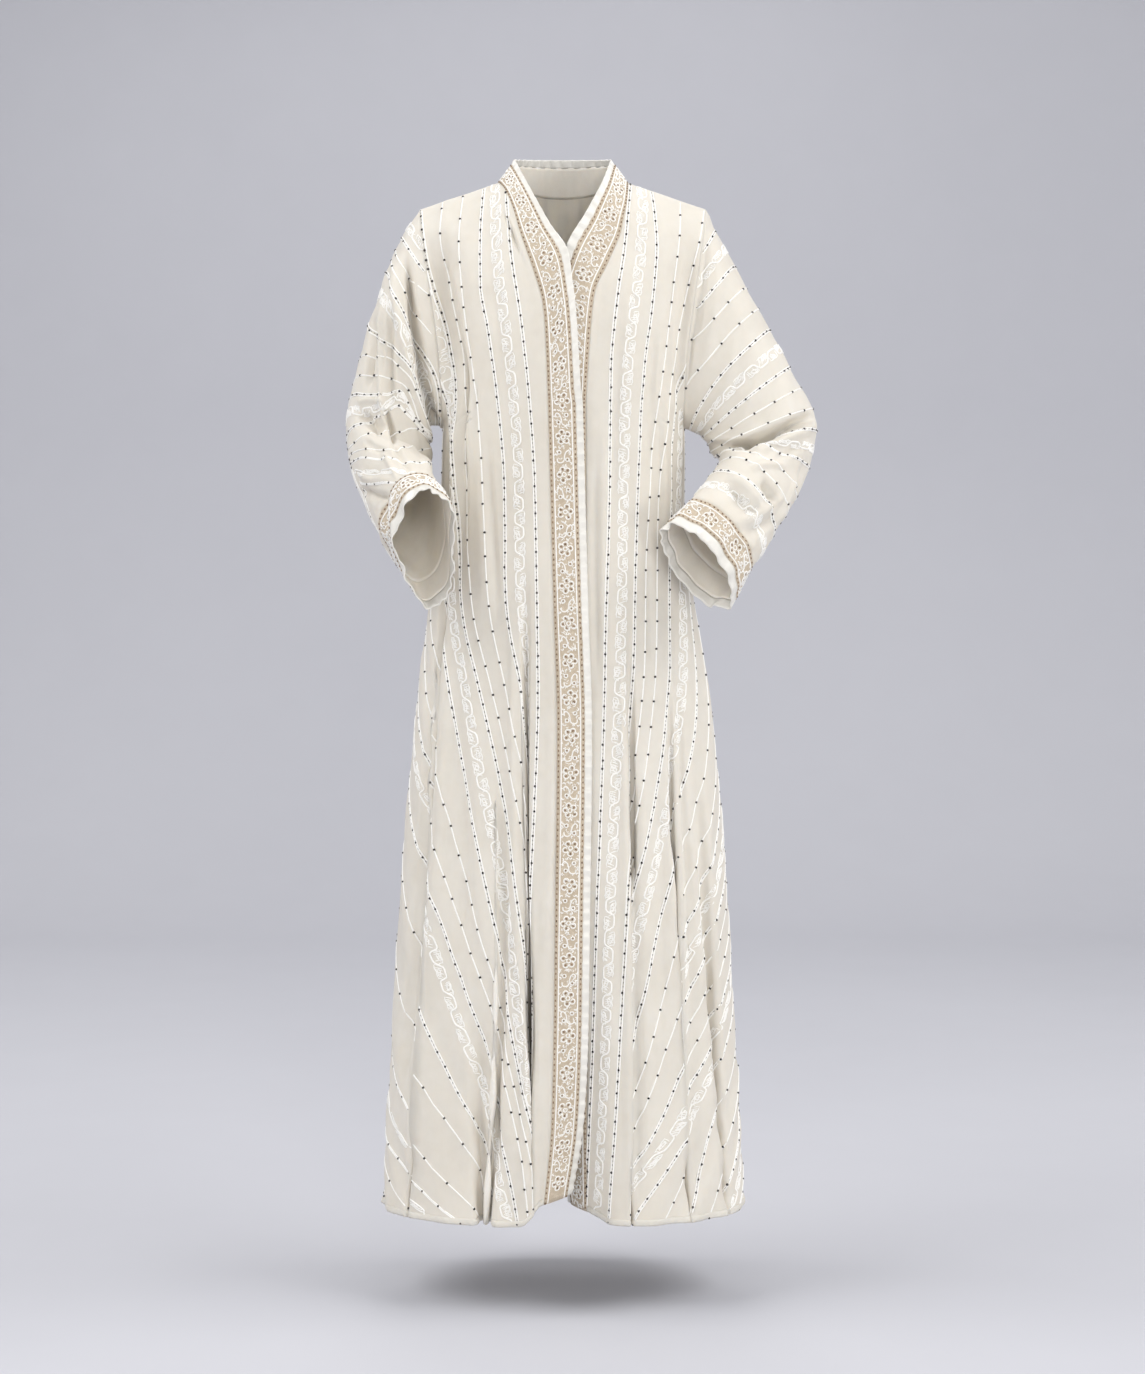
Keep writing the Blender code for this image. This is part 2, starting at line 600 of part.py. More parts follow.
# ---------------------------------------------------------------- the garment
def main():
    for old in list(bpy.data.objects):
        bpy.data.objects.remove(old, do_unlink=True)
    cloth = add_material("cloth", (0.83, 0.795, 0.735), 0.55)
    trim = add_material("embroidered_trim", (0.66, 0.59, 0.48), 0.6)
    satin = add_material("satin", (0.88, 0.86, 0.81), 0.3)

    right = front_panel(-1)
    left = front_panel(1)
    back = back_panel()
    band_share = BAND_WIDTH / (BAND_WIDTH + EDGE_WIDTH)
    sheets = [(Sheet("front_right", right), cloth), (Sheet("front_left", left), cloth),
              (Sheet("back", back), cloth)]
    rails = (("right", trim_rails(-1, right)), ("left", trim_rails(1, left)),
             ("neck", neck_rails(back)))
    front_bulge = TRIM_BULGE * smooth_step(np.array(row_drops()) / UNDERARM)
    for place, (seam_side, free_side) in rails:
        bulge = np.zeros(len(seam_side)) if place == "neck" else front_bulge
        band = trim_strip(seam_side, free_side, (0.0, band_share / 2, band_share), bulge)
        edge = trim_strip(seam_side, free_side, (band_share, 1.0), bulge)
        sheets.append((Sheet("trim_band_" + place, band), trim))
        sheets.append((Sheet("satin_edge_" + place, edge), satin))
    for side, front, sections, sign in (("right", right, SLEEVE_RIGHT, -1),
                                        ("left", left, SLEEVE_LEFT, 1)):
        fine = sleeve_rings(armhole_loop(front, back, sign), sections)
        cuff = CUFF_BAND + CUFF_EDGE
        parts = (("sleeve_", None, cuff, SLEEVE_RINGS, cloth),
                 ("cuff_band_", cuff, CUFF_EDGE, 3, trim),
                 ("cuff_satin_", CUFF_EDGE, 0.0, 2, satin))
        for name, start, end, count, material in parts:
            rings = rings_between(fine, start, end, count)
            sheets.append((Sheet(name + side, rings, closed=True), material))
    share_normals([sheet for sheet, _ in sheets])
    for sheet, material in sheets:
        add_wall(sheet, WALL, material)


main()
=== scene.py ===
# %% [markdown]
# # An open abaya cloak, worn by nobody
#
# The real robe is one layer of ivory crepe, cut as two fronts, a back and two wide sleeves. White
# raised cords, lace ribbons and small dark sequins run down the cloth in stripes, and a beige
# embroidered band with a satin edge closes the front, the neck and the cuffs.
#
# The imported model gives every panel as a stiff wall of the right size. This lesson lays finer
# cloth on those walls, sews the ornaments to it as real threads and beads, and then dyes it all.

# %% Load the frame
import math
import bpy
import numpy as np
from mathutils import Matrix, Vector


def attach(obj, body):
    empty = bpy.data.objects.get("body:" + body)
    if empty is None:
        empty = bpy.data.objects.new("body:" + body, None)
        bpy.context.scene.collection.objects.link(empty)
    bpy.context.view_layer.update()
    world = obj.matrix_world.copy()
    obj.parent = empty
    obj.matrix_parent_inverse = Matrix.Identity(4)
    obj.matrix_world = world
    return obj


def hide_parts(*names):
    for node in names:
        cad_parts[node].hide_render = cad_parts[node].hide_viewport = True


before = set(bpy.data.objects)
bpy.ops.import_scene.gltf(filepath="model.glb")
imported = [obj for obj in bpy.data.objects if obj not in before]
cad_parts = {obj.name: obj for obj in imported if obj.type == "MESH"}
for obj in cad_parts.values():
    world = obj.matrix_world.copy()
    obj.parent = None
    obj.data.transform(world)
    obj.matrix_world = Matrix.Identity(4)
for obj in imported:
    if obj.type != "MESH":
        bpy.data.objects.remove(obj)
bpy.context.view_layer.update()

# %% [markdown]
# ## The camera and the room
#
# A long garment is best seen from a few metres away, level with its hips, so that shoulders and
# hem both look straight on. The lens is shifted instead of tilted, which keeps upright lines
# upright. The room is a studio's paper roll: one bent sheet has no corner line behind the cloth.

# %% Camera
CAMERA_AT = (0.0127, -3.07, -0.569)  # in metres, straight in front of the hips
LENS_MM = 60.3
SENSOR_MM = 36.0
SHIFT_UP = -0.056  # share of the frame

camera = bpy.data.objects.new("camera", bpy.data.cameras.new("camera"))
camera.location = CAMERA_AT
camera.rotation_euler = (math.radians(90), 0.0, 0.0)
camera.data.sensor_width = SENSOR_MM
camera.data.lens = LENS_MM
camera.data.shift_y = SHIFT_UP
bpy.context.scene.collection.objects.link(camera)
bpy.context.scene.camera = camera
bpy.context.scene.view_settings.view_transform = "Standard"
print("camera", CAMERA_AT, "lens", LENS_MM, "mm")

# %% Paper roll
FLOOR_Z = -1.470
ROLL_HALF = 7.0  # half its width
ROLL_FRONT = -4.5  # where the floor starts
ROLL_BACK = 3.2  # where the bend starts
ROLL_BEND = 1.6  # its radius
ROLL_TOP = 3.6
BEND_POINTS = 24


def paper_roll():
    """Outline of the roll from the front of the floor to the top of the wall, as (y, z)."""
    bend = [(ROLL_BACK + ROLL_BEND * math.sin(a), FLOOR_Z + ROLL_BEND * (1 - math.cos(a)))
            for a in np.linspace(0.0, math.pi / 2, BEND_POINTS)]
    return [(ROLL_FRONT, FLOOR_Z)] + bend + [(ROLL_BACK + ROLL_BEND, ROLL_TOP)]


outline = paper_roll()
mesh = bpy.data.meshes.new("paper_roll")
corners = [(x, y, z) for y, z in outline for x in (-ROLL_HALF, ROLL_HALF)]
quads = [(2 * i, 2 * i + 1, 2 * i + 3, 2 * i + 2) for i in range(len(outline) - 1)]
mesh.from_pydata(corners, [], quads)
mesh.shade_smooth()
roll = bpy.data.objects.new("paper_roll", mesh)
bpy.context.scene.collection.objects.link(roll)
print("paper roll with", len(quads), "faces, floor at", FLOOR_Z)

# %% [markdown]
# ## Soft light
#
# Ivory on ivory shows its folds only through soft shade. A large lamp a little right of the camera
# and another low on the right give each fold a bright side, and a weak one on the left keeps the
# other side open. Two hang over the floor to keep it pale, one high behind lights the back, and
# the sky colour of the world fills what is left. Small lamps would cut hard shadows.

# %% Lamps
LAMPS = [
    # name, place, what it points at, side in metres, watts, colour
    ("key_lamp", (0.6, -5.0, 0.1), (0.0, 0.0, -0.8), 1.4, 62.0, (1.0, 0.985, 0.950)),
    ("fill_lamp", (3.2, -3.4, -1.1), (0.1, 0.0, -1.1), 1.8, 60.0, (1.0, 0.985, 0.940)),
    ("left_lamp", (-3.4, -2.8, -1.0), (-0.1, 0.0, -0.8), 1.8, 26.0, (1.0, 0.985, 0.940)),
    ("floor_lamp_l", (-3.0, -0.9, 3.0), (0.0, -0.9, -1.47), 3.0, 121.0, (1.0, 0.995, 0.985)),
    ("floor_lamp_r", (3.0, -0.9, 3.0), (0.0, -0.9, -1.47), 3.0, 121.0, (1.0, 0.995, 0.985)),
    ("wall_lamp", (0.0, 1.6, 2.4), (0.0, 4.8, 0.2), 2.4, 2.0, (0.97, 0.98, 1.0)),
    ("back_lamp", (-0.3, 3.6, 2.9), (0.0, 0.0, -0.7), 2.4, 33.0, (1.0, 0.99, 0.96)),
]
SKY = {"Color": (0.90, 0.90, 0.93, 1.0), "Strength": 0.49}


def add_lamp(name, at, towards, size, watts, tint):
    """A square area lamp that points at a place."""
    data = bpy.data.lights.new(name, "AREA")
    data.size = size
    data.energy = watts
    data.color = tint
    lamp = bpy.data.objects.new(name, data)
    lamp.location = at
    lamp.rotation_euler = (Vector(towards) - Vector(at)).to_track_quat("-Z", "Y").to_euler()
    bpy.context.scene.collection.objects.link(lamp)


for lamp_facts in LAMPS:
    add_lamp(*lamp_facts)
world = bpy.data.worlds.new("studio_air")
bpy.context.scene.world = world
world.use_nodes = True
for label, value in SKY.items():
    world.node_tree.nodes["Background"].inputs[label].default_value = value

# %% [markdown]
# ## The worn body
#
# A dressmaker drapes cloth on a form, and a form is a stack of sections. Each section here is a
# rounded outline with a width to the left and right and a depth to the front and back. The tables
# below are the same ones that the solid walls were made from, so the fine cloth lands on them.
# All sizes are in metres. A drop is how far a place lies below the shoulder line, and a sign of
# -1 or 1 stands for the wearer's right or left side.

# %% Table reader


def rows_of(text):
    """The rows of a table written as text, a row to a line. Commas only keep numbers together."""
    return [[float(number) for number in row.replace(",", " ").split()]
            for row in text.strip().splitlines()]


print("a table of two rows:", rows_of("1 2,3\n4 5,6"))

# %% Form sizes
BAND_WIDTH, EDGE_WIDTH = 0.036, 0.009  # the embroidered band and its satin edge
CUFF_BAND, CUFF_EDGE = 0.036, 0.014  # the same round a cuff
TRIM_BULGE = 0.0015  # how far the band rounds up in its middle
NECK_HALF, SHOULDER_HALF = 0.0866, 0.190  # half widths at the neck point and the shoulder tip
SHOULDER_FALL = 0.035  # from neck point to shoulder tip
NAPE_RISE, NAPE_DROP = 0.045, 0.052  # the back neckline above the line, and its scoop
COLLAR_BACK = (0.051, 0.041)  # y and z of the collar's top edge at the nape
UNDERARM, HEM = 0.327, 1.357  # drops
BACK_SAG, SAG_REACH = 0.019, 0.12  # how far the back's hem hangs lower, and from what y
EDGE_RISE = {-1: 0.026, 1: 0.008}  # how far the front corners are lifted,
RISE_FROM, RISE_REACH = 1.10, 0.030  # from what drop, and how wide
TURN_REACH = {-1: 0.016, 1: 0.045}  # how wide the turned-in edge of a front is
LAP_DROP, LAP_REACH = 0.0045, 0.040  # how far the left front lies under, and how wide,
LAP_FROM, LAP_OVER = 0.05, 0.06  # and the drops over which that starts
EDGE_LIFT = 0.3  # share of the corner's lift that the satin takes
FOLD_TOP, FOLD_NARROW = 0.40, 0.7  # drop where folds start, and their width there
MOUTH = 0.86  # how far the two lips of a deep fold lean together
ROUNDNESS = 2.3  # power of the section's rounded outline
ARMHOLE_LIMIT = 0.93
SHOULDER_ROUND = 0.030  # above this drop the shoulder rounds off like an egg

# drop, right, left, front, back
BODY = rows_of("""
0 0.19 0.19 0 0
0.01 0.189 0.189 0.026 0.027
0.03 0.187 0.187 0.045 0.048
0.06 0.183 0.183 0.063 0.068
0.1 0.178 0.178 0.081 0.087
0.15 0.172 0.172 0.098 0.1
0.21 0.165 0.165 0.11 0.105
0.27 0.161 0.161 0.114 0.103
0.327 0.16 0.16 0.113 0.098
0.43 0.162 0.16 0.11 0.093
0.56 0.178 0.174 0.114 0.098
0.72 0.197 0.2 0.121 0.108
0.95 0.217 0.219 0.128 0.118
1.16 0.229 0.23 0.132 0.125
1.357 0.239 0.241 0.136 0.131
""")
# drop, front, back
ARMHOLE = rows_of("""
0 0 0
0.01 0.019 0.019
0.03 0.033 0.034
0.06 0.044 0.046
0.1 0.052 0.054
0.15 0.057 0.058
0.21 0.058 0.058
0.27 0.051 0.051
0.305 0.036 0.036
0.327 0 0
""")
print("form:", len(BODY), "sections down to", HEM, "m")

# %% Neckline and front edges
NECKLINE = {
    # drop, seam x, free x, free y, free z
    -1: rows_of("""
0 -0.0866 -0.064 0 0.032
0.03 -0.0745 -0.048 -0.04 -0.004
0.06 -0.0655 -0.033 -0.06 -0.034
0.098 -0.0557 -0.0165 -0.078 -0.066
0.155 -0.0365 0.0075 -0.097 -0.106
0.185 -0.0267 0.013 -0.107 -0.146
0.215 -0.0228 0.0168 -0.112 -0.176
0.3 -0.019 0.0238 -0.1135 -0.29
    """),
    1: rows_of("""
0 0.0866 0.064 0 0.032
0.03 0.085 0.054 -0.04 0
0.06 0.08 0.041 -0.058 -0.028
0.085 0.0759 0.03 -0.07 -0.05
0.135 0.0587 0.0065 -0.0865 -0.092
0.175 0.0417 -0.007 -0.097 -0.138
0.215 0.0365 -0.012 -0.105 -0.176
0.3 0.03 -0.015 -0.109 -0.29
    """),
}
FRONT_EDGE = {
    # drop, seam x, stand in, turn
    -1: rows_of("""
0.3 -0.019 0 0
0.56 -0.012 0 0
0.72 -0.0072 0 0
0.98 -0.01 0 0
1.1 -0.0115 0.001 5
1.2 -0.0135 0.004 14
1.357 -0.019 0.012 34
    """),
    1: rows_of("""
0.3 0.03 0 0
0.56 0.03 0 0
0.72 0.031 0 0
0.9 0.032 0 0
1 0.032 0.004 4
1.1 0.032 0.01 14
1.2 0.032 0.02 26
1.357 0.033 0.045 58
    """),
}
print("neck and front edges for both sides")

# %% [markdown]
# ## Hanging folds
#
# Below the waist the cloth is wider than the body, and what is left over hangs in folds. Each row
# of the table is one fold as a trough: where it starts, its place at its top and at the hem, how
# deep and how wide it is, and how quickly it deepens. Modelling folds as rows keeps their number,
# order and spacing in sight, which a simulation would decide by itself.

# %% Fold tables
FOLDS = {
    # starts, x at its top, x at the hem, depth, half width, growth
    "right": rows_of("""
0.43 -0.05 -0.0385 0.102 0.013 1.35
0.74 -0.073 -0.08 0.022 0.012 1.1
0.95 -0.106 -0.108 0.03 0.026 1.3
0.42 -0.148 -0.201 0.072 0.015 1
    """),
    "left": rows_of("""
0.5 0.084 0.089 0.098 0.015 1.7
0.6 0.13 0.164 0.076 0.015 1.4
0.7 0.148 0.215 0.034 0.018 1.3
    """),
    "back": rows_of("""
0.52 -0.128 -0.184 0.07 0.016 1.2
0.66 -0.086 -0.119 0.052 0.02 1.45
0.44 -0.042 -0.048 0.088 0.017 1.3
0.72 0.018 0.022 0.05 0.021 1.6
0.47 0.07 0.096 0.09 0.017 1.15
0.6 0.126 0.169 0.068 0.018 1.35
    """),
}
COLUMNS = {
    # columns of the solid wall between the stops of its folds
    "right": (1, 3, 3, 1, 2, 2, 1, 1, 1, 1, 3, 3, 2),
    "left": (3, 3, 3, 2, 2, 2, 1, 1, 1, 2),
    "back": (2, 2, 2, 1, 2, 2, 1, 2, 2, 1, 2, 2, 1, 2, 2, 1, 2, 2, 2),
}
FINER = 5  # fine columns for each column of the solid wall
NECK_COLUMNS = (9 * FINER, 24 * FINER)  # where the back neckline starts and ends
ROW_STEP = 0.0078
SHOULDER_ROWS = 9
FINE = 700  # points that a section is drawn with


def cloth_rows():
    """Drops of the fine rows: dense over the shoulder, then even, with one at the underarm."""
    shoulder = SHOULDER_ROUND * np.linspace(0.0, 1.0, SHOULDER_ROWS) ** 2
    yoke = np.linspace(SHOULDER_ROUND, UNDERARM, round((UNDERARM - SHOULDER_ROUND) / ROW_STEP) + 1)
    skirt = np.linspace(UNDERARM, HEM, round((HEM - UNDERARM) / ROW_STEP) + 1)
    return np.concatenate((shoulder, yoke[1:], skirt[1:])), len(shoulder) + len(yoke) - 2


ROWS, UNDERARM_ROW = cloth_rows()
print("cloth rows:", len(ROWS), "with the underarm at row", UNDERARM_ROW)

# %% [markdown]
# ## Small tools of the pattern table
#
# Curves through a few measured stops must not swing past them, or a sleeve would bulge where none
# was cut. A monotone cubic does that. The rest are the everyday moves: a soft step, unit vectors,
# and the length travelled along a line, which is how a tape measure reads a folded hem.

# %% Small tools


def smooth_step(value):
    """0 below 0, 1 above 1, and a soft rise between."""
    value = np.clip(value, 0.0, 1.0)
    return value * value * (3.0 - 2.0 * value)


def table(rows, column, at):
    """A smooth curve without overshoot through one column of a table."""
    keys = np.array([row[0] for row in rows])
    values = np.array([row[column] for row in rows])
    steps = np.diff(values) / np.diff(keys)
    slopes = np.zeros(len(keys))
    slopes[0] = steps[0]
    slopes[-1] = steps[-1]
    for i in range(1, len(keys) - 1):
        if steps[i - 1] * steps[i] > 0.0:
            slopes[i] = 2.0 * steps[i - 1] * steps[i] / (steps[i - 1] + steps[i])
    at = min(max(at, keys[0]), keys[-1])
    i = min(int(np.searchsorted(keys, at, side="right")) - 1, len(keys) - 2)
    width = keys[i + 1] - keys[i]
    s = (at - keys[i]) / width
    return ((1 + 2 * s) * (1 - s) ** 2 * values[i] + s * s * (3 - 2 * s) * values[i + 1]
            + width * (s * (1 - s) ** 2 * slopes[i] - s * s * (1 - s) * slopes[i + 1]))


def rounded(rows, column, drop):
    """The same, but with the shoulder rounded above its first rows."""
    if drop < SHOULDER_ROUND:
        return table(rows, column, SHOULDER_ROUND) * math.sqrt(drop / SHOULDER_ROUND)
    return table(rows, column, drop)


def unit(vectors):
    """The same directions, each one metre long."""
    length = np.linalg.norm(vectors, axis=-1, keepdims=True)
    return vectors / np.maximum(length, 1e-12)


def travelled(points):
    """Length along a polyline at each of its points."""
    steps = np.linalg.norm(np.diff(points, axis=0), axis=1)
    return np.concatenate(([0.0], np.cumsum(steps)))


print("a soft step half way:", float(smooth_step(0.5)))

# %% [markdown]
# ## Sections and folds
#
# Each section is a rounded box drawn with one power curve, set so that it passes through the edge
# of the armhole. A fold then pushes the section inwards as a cosine trough and slides its two lips
# towards each other, which is what makes it read as folded cloth instead of a dent.

# %% Sections of the form


def height(drop, x, y):
    """World height of a point that lies drop below the shoulder line."""
    reach = np.abs(x)
    slope = -SHOULDER_FALL * (reach - NECK_HALF) / (SHOULDER_HALF - NECK_HALF)
    rise = NAPE_RISE * (1.0 - (reach / NECK_HALF) ** 2)
    line = np.where(reach > NECK_HALF, slope, rise)
    skirt = np.clip((drop - UNDERARM) / (HEM - UNDERARM), 0.0, 1.0)
    sag = BACK_SAG * skirt * smooth_step(y / SAG_REACH)
    return -drop + line * (1.0 - smooth_step(drop / UNDERARM)) - sag


def half_width(drop, sign):
    """Half the body's width at a drop, on one side."""
    return table(BODY, 1 if sign < 0 else 2, drop)


def section_size(drop, face, sign):
    """Half width and depth of the section that passes through the armhole's edge."""
    depth = rounded(BODY, 3 if face < 0 else 4, drop)
    reach = rounded(ARMHOLE, 1 if face < 0 else 2, drop)
    if depth < 1e-9:
        return half_width(drop, sign), 0.0
    inset = 1.0 - min(reach / depth, ARMHOLE_LIMIT) ** ROUNDNESS
    return half_width(drop, sign) / inset ** (1.0 / ROUNDNESS), depth


def on_section(drop, face, x):
    """The point of the body section at a place x, before any fold."""
    half, depth = section_size(drop, face, -1 if x < 0 else 1)
    share = min(abs(x) / half, 1.0)
    y = face * depth * (1.0 - share ** ROUNDNESS) ** (1.0 / ROUNDNESS)
    return np.array((x, y, float(height(drop, x, y))))


def section(drop, face, x_from, x_to):
    """Points (x, y) along one face of the body section, evenly spaced in its angle."""
    right, depth = section_size(drop, face, -1)
    left = section_size(drop, face, 1)[0]
    if depth < 1e-9:
        return np.column_stack((np.linspace(x_from, x_to, FINE), np.zeros(FINE)))
    ends = []
    for x in (x_from, x_to):
        share = min(abs(x) / (right if x < 0 else left), 1.0)
        ends.append(math.copysign(math.asin(share ** (ROUNDNESS / 2)), x))
    angle = np.linspace(ends[0], ends[1], FINE)
    half = np.where(angle < 0, right, left)
    x = np.sign(angle) * half * np.abs(np.sin(angle)) ** (2 / ROUNDNESS)
    y = face * depth * np.abs(np.cos(angle)) ** (2 / ROUNDNESS)
    return np.column_stack((x, y))


print("half width at the underarm", round(half_width(UNDERARM, -1), 3), "m")

# %% Folded rows
DEEP = 0.040  # a fold this deep has its lips fully together


def fold_at(fold, drop):
    """Place, depth and half width of one hanging fold at a drop."""
    starts, x_top, x_hem, depth, width, growth = fold
    share = min(max((drop - starts) / (HEM - starts), 0.0), 1.0)
    along = min(max((drop - FOLD_TOP) / (HEM - FOLD_TOP), 0.0), 1.0)
    grown = share ** growth * smooth_step(share * 4.0)
    return (x_top + (x_hem - x_top) * along, depth * grown,
            width * (FOLD_NARROW + (1.0 - FOLD_NARROW) * along))


def folded_row(drop, face, x_from, x_to, folds, counts, stand_in):
    """A body section with its folds: shares of its columns, tape length, folded and flat line."""
    flat = section(drop, face, x_from, x_to)
    along = travelled(flat)
    tangent = unit(np.gradient(flat, axis=0))
    outward = np.column_stack((tangent[:, 1], -tangent[:, 0]))
    outward *= math.copysign(1.0, outward[FINE // 2, 1] * face)
    push = -stand_in(along)
    slide = np.zeros(len(along))
    direction = math.copysign(1.0, x_to - x_from)
    stops = [0.0]
    for fold in folds:
        x, depth, width = fold_at(fold, drop)
        place = np.interp(direction * x, direction * flat[:, 0], along)
        offset = np.clip((along - place) / width, -2.0, 2.0)
        push -= depth * np.cos(np.clip(offset, -1.0, 1.0) * math.pi / 2) ** 2
        closing = MOUTH * width * float(smooth_step(depth / DEEP))
        slide -= np.sign(offset) * closing * np.sin(offset * math.pi / 2) ** 2
        stops += [place - width, place, place + width]
    stops.append(along[-1])
    folded = flat + outward * push[:, None] + tangent * slide[:, None]
    spent = travelled(folded)
    marks = np.interp(stops, along, spent)
    columns = [np.linspace(marks[i], marks[i + 1], n * FINER, endpoint=False)
               for i, n in enumerate(counts)]
    columns = np.concatenate(columns + [marks[-1:]])
    return columns / spent[-1], spent, folded, flat


def panel_row(drop, face, ends, folds, counts, stand_in, top_shares):
    """One fine row of a panel, with the tape length and the unfolded x at each column."""
    low = max(drop, FOLD_TOP)
    shares = folded_row(low, face, *ends(low), folds, counts, stand_in(low))[0]
    _, spent, folded, flat = folded_row(drop, face, *ends(drop), folds, counts, stand_in(drop))
    settle = smooth_step(drop / FOLD_TOP)
    at = (top_shares * (1.0 - settle) + shares * settle) * spent[-1]
    x = np.interp(at, spent, folded[:, 0])
    y = np.interp(at, spent, folded[:, 1])
    flat_x = np.interp(at, spent, flat[:, 0])
    return np.column_stack((x, y, height(drop, flat_x, y))), at, flat_x


print("a fold", round(DEEP * 1000), "mm deep closes its lips")

# %% [markdown]
# ## Cloth as a grid
#
# A piece of cloth is a grid of places with two tape measures printed on it, one across the
# stripes and one along them. Whatever is sewn on only has to say where it sits on the two tapes,
# and it follows every fold. That is how an embroiderer works too: on flat cloth, before the folds.

# %% Cloth grid


class Cloth:
    """A grid of places. across[i, j] reads the tape across the stripes, along[i] the other."""

    def __init__(self, places, across, along, outward):
        self.places = places
        self.across = across
        self.along = np.asarray(along, float)
        self.outward = outward
        self.find_normals()

    def find_normals(self):
        """A normal for each place, turned to the outside of the robe."""
        down = np.gradient(self.places, axis=0)
        side = np.gradient(self.places, axis=1)
        self.normals = unit(np.cross(down, side))
        if np.sum(self.normals * self.outward) < 0:
            self.normals = -self.normals

    def move(self, push):
        """Move each place along its normal, by a push in metres."""
        self.places = self.places + self.normals * push[..., None]
        self.find_normals()

    def loose(self, held):
        """1 where the cloth is free to move, falling to 0 at the edges that are sewn to others."""
        side = np.linalg.norm(np.diff(self.places, axis=1), axis=2)
        side = np.pad(np.cumsum(side, axis=1), ((0, 0), (1, 0)))
        down = np.linalg.norm(np.diff(self.places, axis=0), axis=2)
        down = np.pad(np.cumsum(down, axis=0), ((1, 0), (0, 0)))
        away = {"first": side, "last": side[:, -1:] - side, "top": down}
        free = np.ones(side.shape)
        for edge, reach in held.items():
            free = free * smooth_step(away[edge] / reach)
        return free

    def lay(self, across, along):
        """Places, normals and a mask of the points that really lie on this cloth."""
        across, along = np.broadcast_arrays(np.asarray(across, float), np.asarray(along, float))
        rows, columns = self.across.shape
        row = np.interp(along, self.along, np.arange(rows))
        low = np.minimum(row.astype(int), rows - 2)
        share = (row - low)[:, None]
        places = np.zeros((len(across), 3))
        normals = np.zeros((len(across), 3))
        on_it = (along >= self.along[0] - 1e-6) & (along <= self.along[-1] + 1e-6)
        for r in np.unique(low):
            pick = np.nonzero(low == r)[0]
            for k, weight in ((r, 1.0 - share[pick]), (r + 1, share[pick])):
                at = np.interp(across[pick], self.across[k], np.arange(columns))
                c = np.minimum(at.astype(int), columns - 2)
                f = (at - c)[:, None]
                for found, grid in ((places, self.places), (normals, self.normals)):
                    found[pick] += weight * (grid[k, c] * (1 - f) + grid[k, c + 1] * f)
                outside = (across[pick] < self.across[k, 0]) | (across[pick] > self.across[k, -1])
                on_it[pick[outside & (weight[:, 0] > 1e-6)]] = False
        return places, unit(normals), on_it


def new_piece(name, vertices, faces, material):
    """A mesh piece of the robe, linked to the scene."""
    data = bpy.data.meshes.new(name)
    data.from_pydata(np.asarray(vertices).tolist(), [], faces)
    data.validate()
    data.shade_smooth()
    data.materials.append(material)
    made = bpy.data.objects.new(name, data)
    bpy.context.scene.collection.objects.link(made)
    return made


print("cloth grid ready")

# %% [markdown]
# ## Where the stripes start
#
# The stripes run along the warp, so each keeps its distance from the front edge, as the tape
# reads it over folds and all. Near the neck the edge is cut away in a curve while the stripes go
# straight on to the shoulder. A grain line carries the tape's zero up there.

# %% Grain lines
GRAIN = {
    # drop, x of the tape's zero
    -1: [(0.000, -0.0215), (0.100, -0.0220), (0.200, -0.0205), (0.300, -0.0190)],
    1: [(0.000, 0.0450), (0.100, 0.0400), (0.200, 0.0345), (0.300, 0.0300)],
}


def edge_place(sign, drop):
    """Where a front meets its band: x, how far that seam stands in, and the band's turn."""
    edge = FRONT_EDGE[sign]
    if drop < edge[0][0]:
        return table(NECKLINE[sign], 1, drop), 0.0, 0.0
    return tuple(table(edge, column, drop) for column in (1, 2, 3))


def tape_start(sign, drop):
    """What the tape reads at the front's seam: 0, or more where the neck is cut away."""
    if drop >= FRONT_EDGE[sign][0][0]:
        return 0.0
    seam, zero = edge_place(sign, drop)[0], table(GRAIN[sign], 1, drop)
    cut_away = section(drop, -1, zero, seam)
    return math.copysign(travelled(cut_away)[-1], sign * (seam - zero))


print("tape at the right neck point reads", round(tape_start(-1, 0.0), 3), "m")

# %% [markdown]
# ## Fronts and back
#
# Each panel is made row by row from the shoulder to the hem. A row follows the form, takes the
# folds that are open at its drop, and reads its tape. The left front stands in a little where the
# right one laps over it, and both front edges turn in near the hem, where they swing free. The
# back starts from a scoop, the back neckline, which its first rows settle out of.

# %% Front panels


def edge_rise(sign, drop):
    """How far the lower corner of a front is lifted."""
    return EDGE_RISE[sign] * smooth_step((drop - RISE_FROM) / (HEM - RISE_FROM))


def front_cloth(sign):
    """A front, from its band seam to the shoulder, armhole and side seam."""
    side = "right" if sign < 0 else "left"
    folds, counts = FOLDS[side], COLUMNS[side]

    def ends(drop):
        return edge_place(sign, drop)[0], sign * half_width(drop, sign)

    def stand_in(drop):
        turned = edge_place(sign, drop)[1]
        under = LAP_DROP * float(smooth_step((drop - LAP_FROM) / LAP_OVER)) if sign > 0 else 0.0
        return lambda along: (turned * (1.0 - smooth_step(along / TURN_REACH[sign]))
                              + under * (1.0 - smooth_step(along / LAP_REACH)))

    top = np.linspace(0.0, 1.0, sum(counts) * FINER + 1)
    places, across = [], []
    for drop in ROWS:
        row, tape, _ = panel_row(drop, -1, ends, folds, counts, stand_in, top)
        from_edge = np.abs(row[:, 0] - row[0, 0])
        row[:, 2] += edge_rise(sign, drop) * (1.0 - smooth_step(from_edge / RISE_REACH))
        places.append(row)
        across.append(tape + tape_start(sign, drop))
    places = np.array(places)
    return Cloth(places, np.array(across), ROWS, places * (1.0, 1.0, 0.0) + (0.0, -0.05, 0.0))


print("front corners lifted", [round(float(edge_rise(sign, HEM)) * 1000) for sign in (-1, 1)], "mm")

# %% Back panel


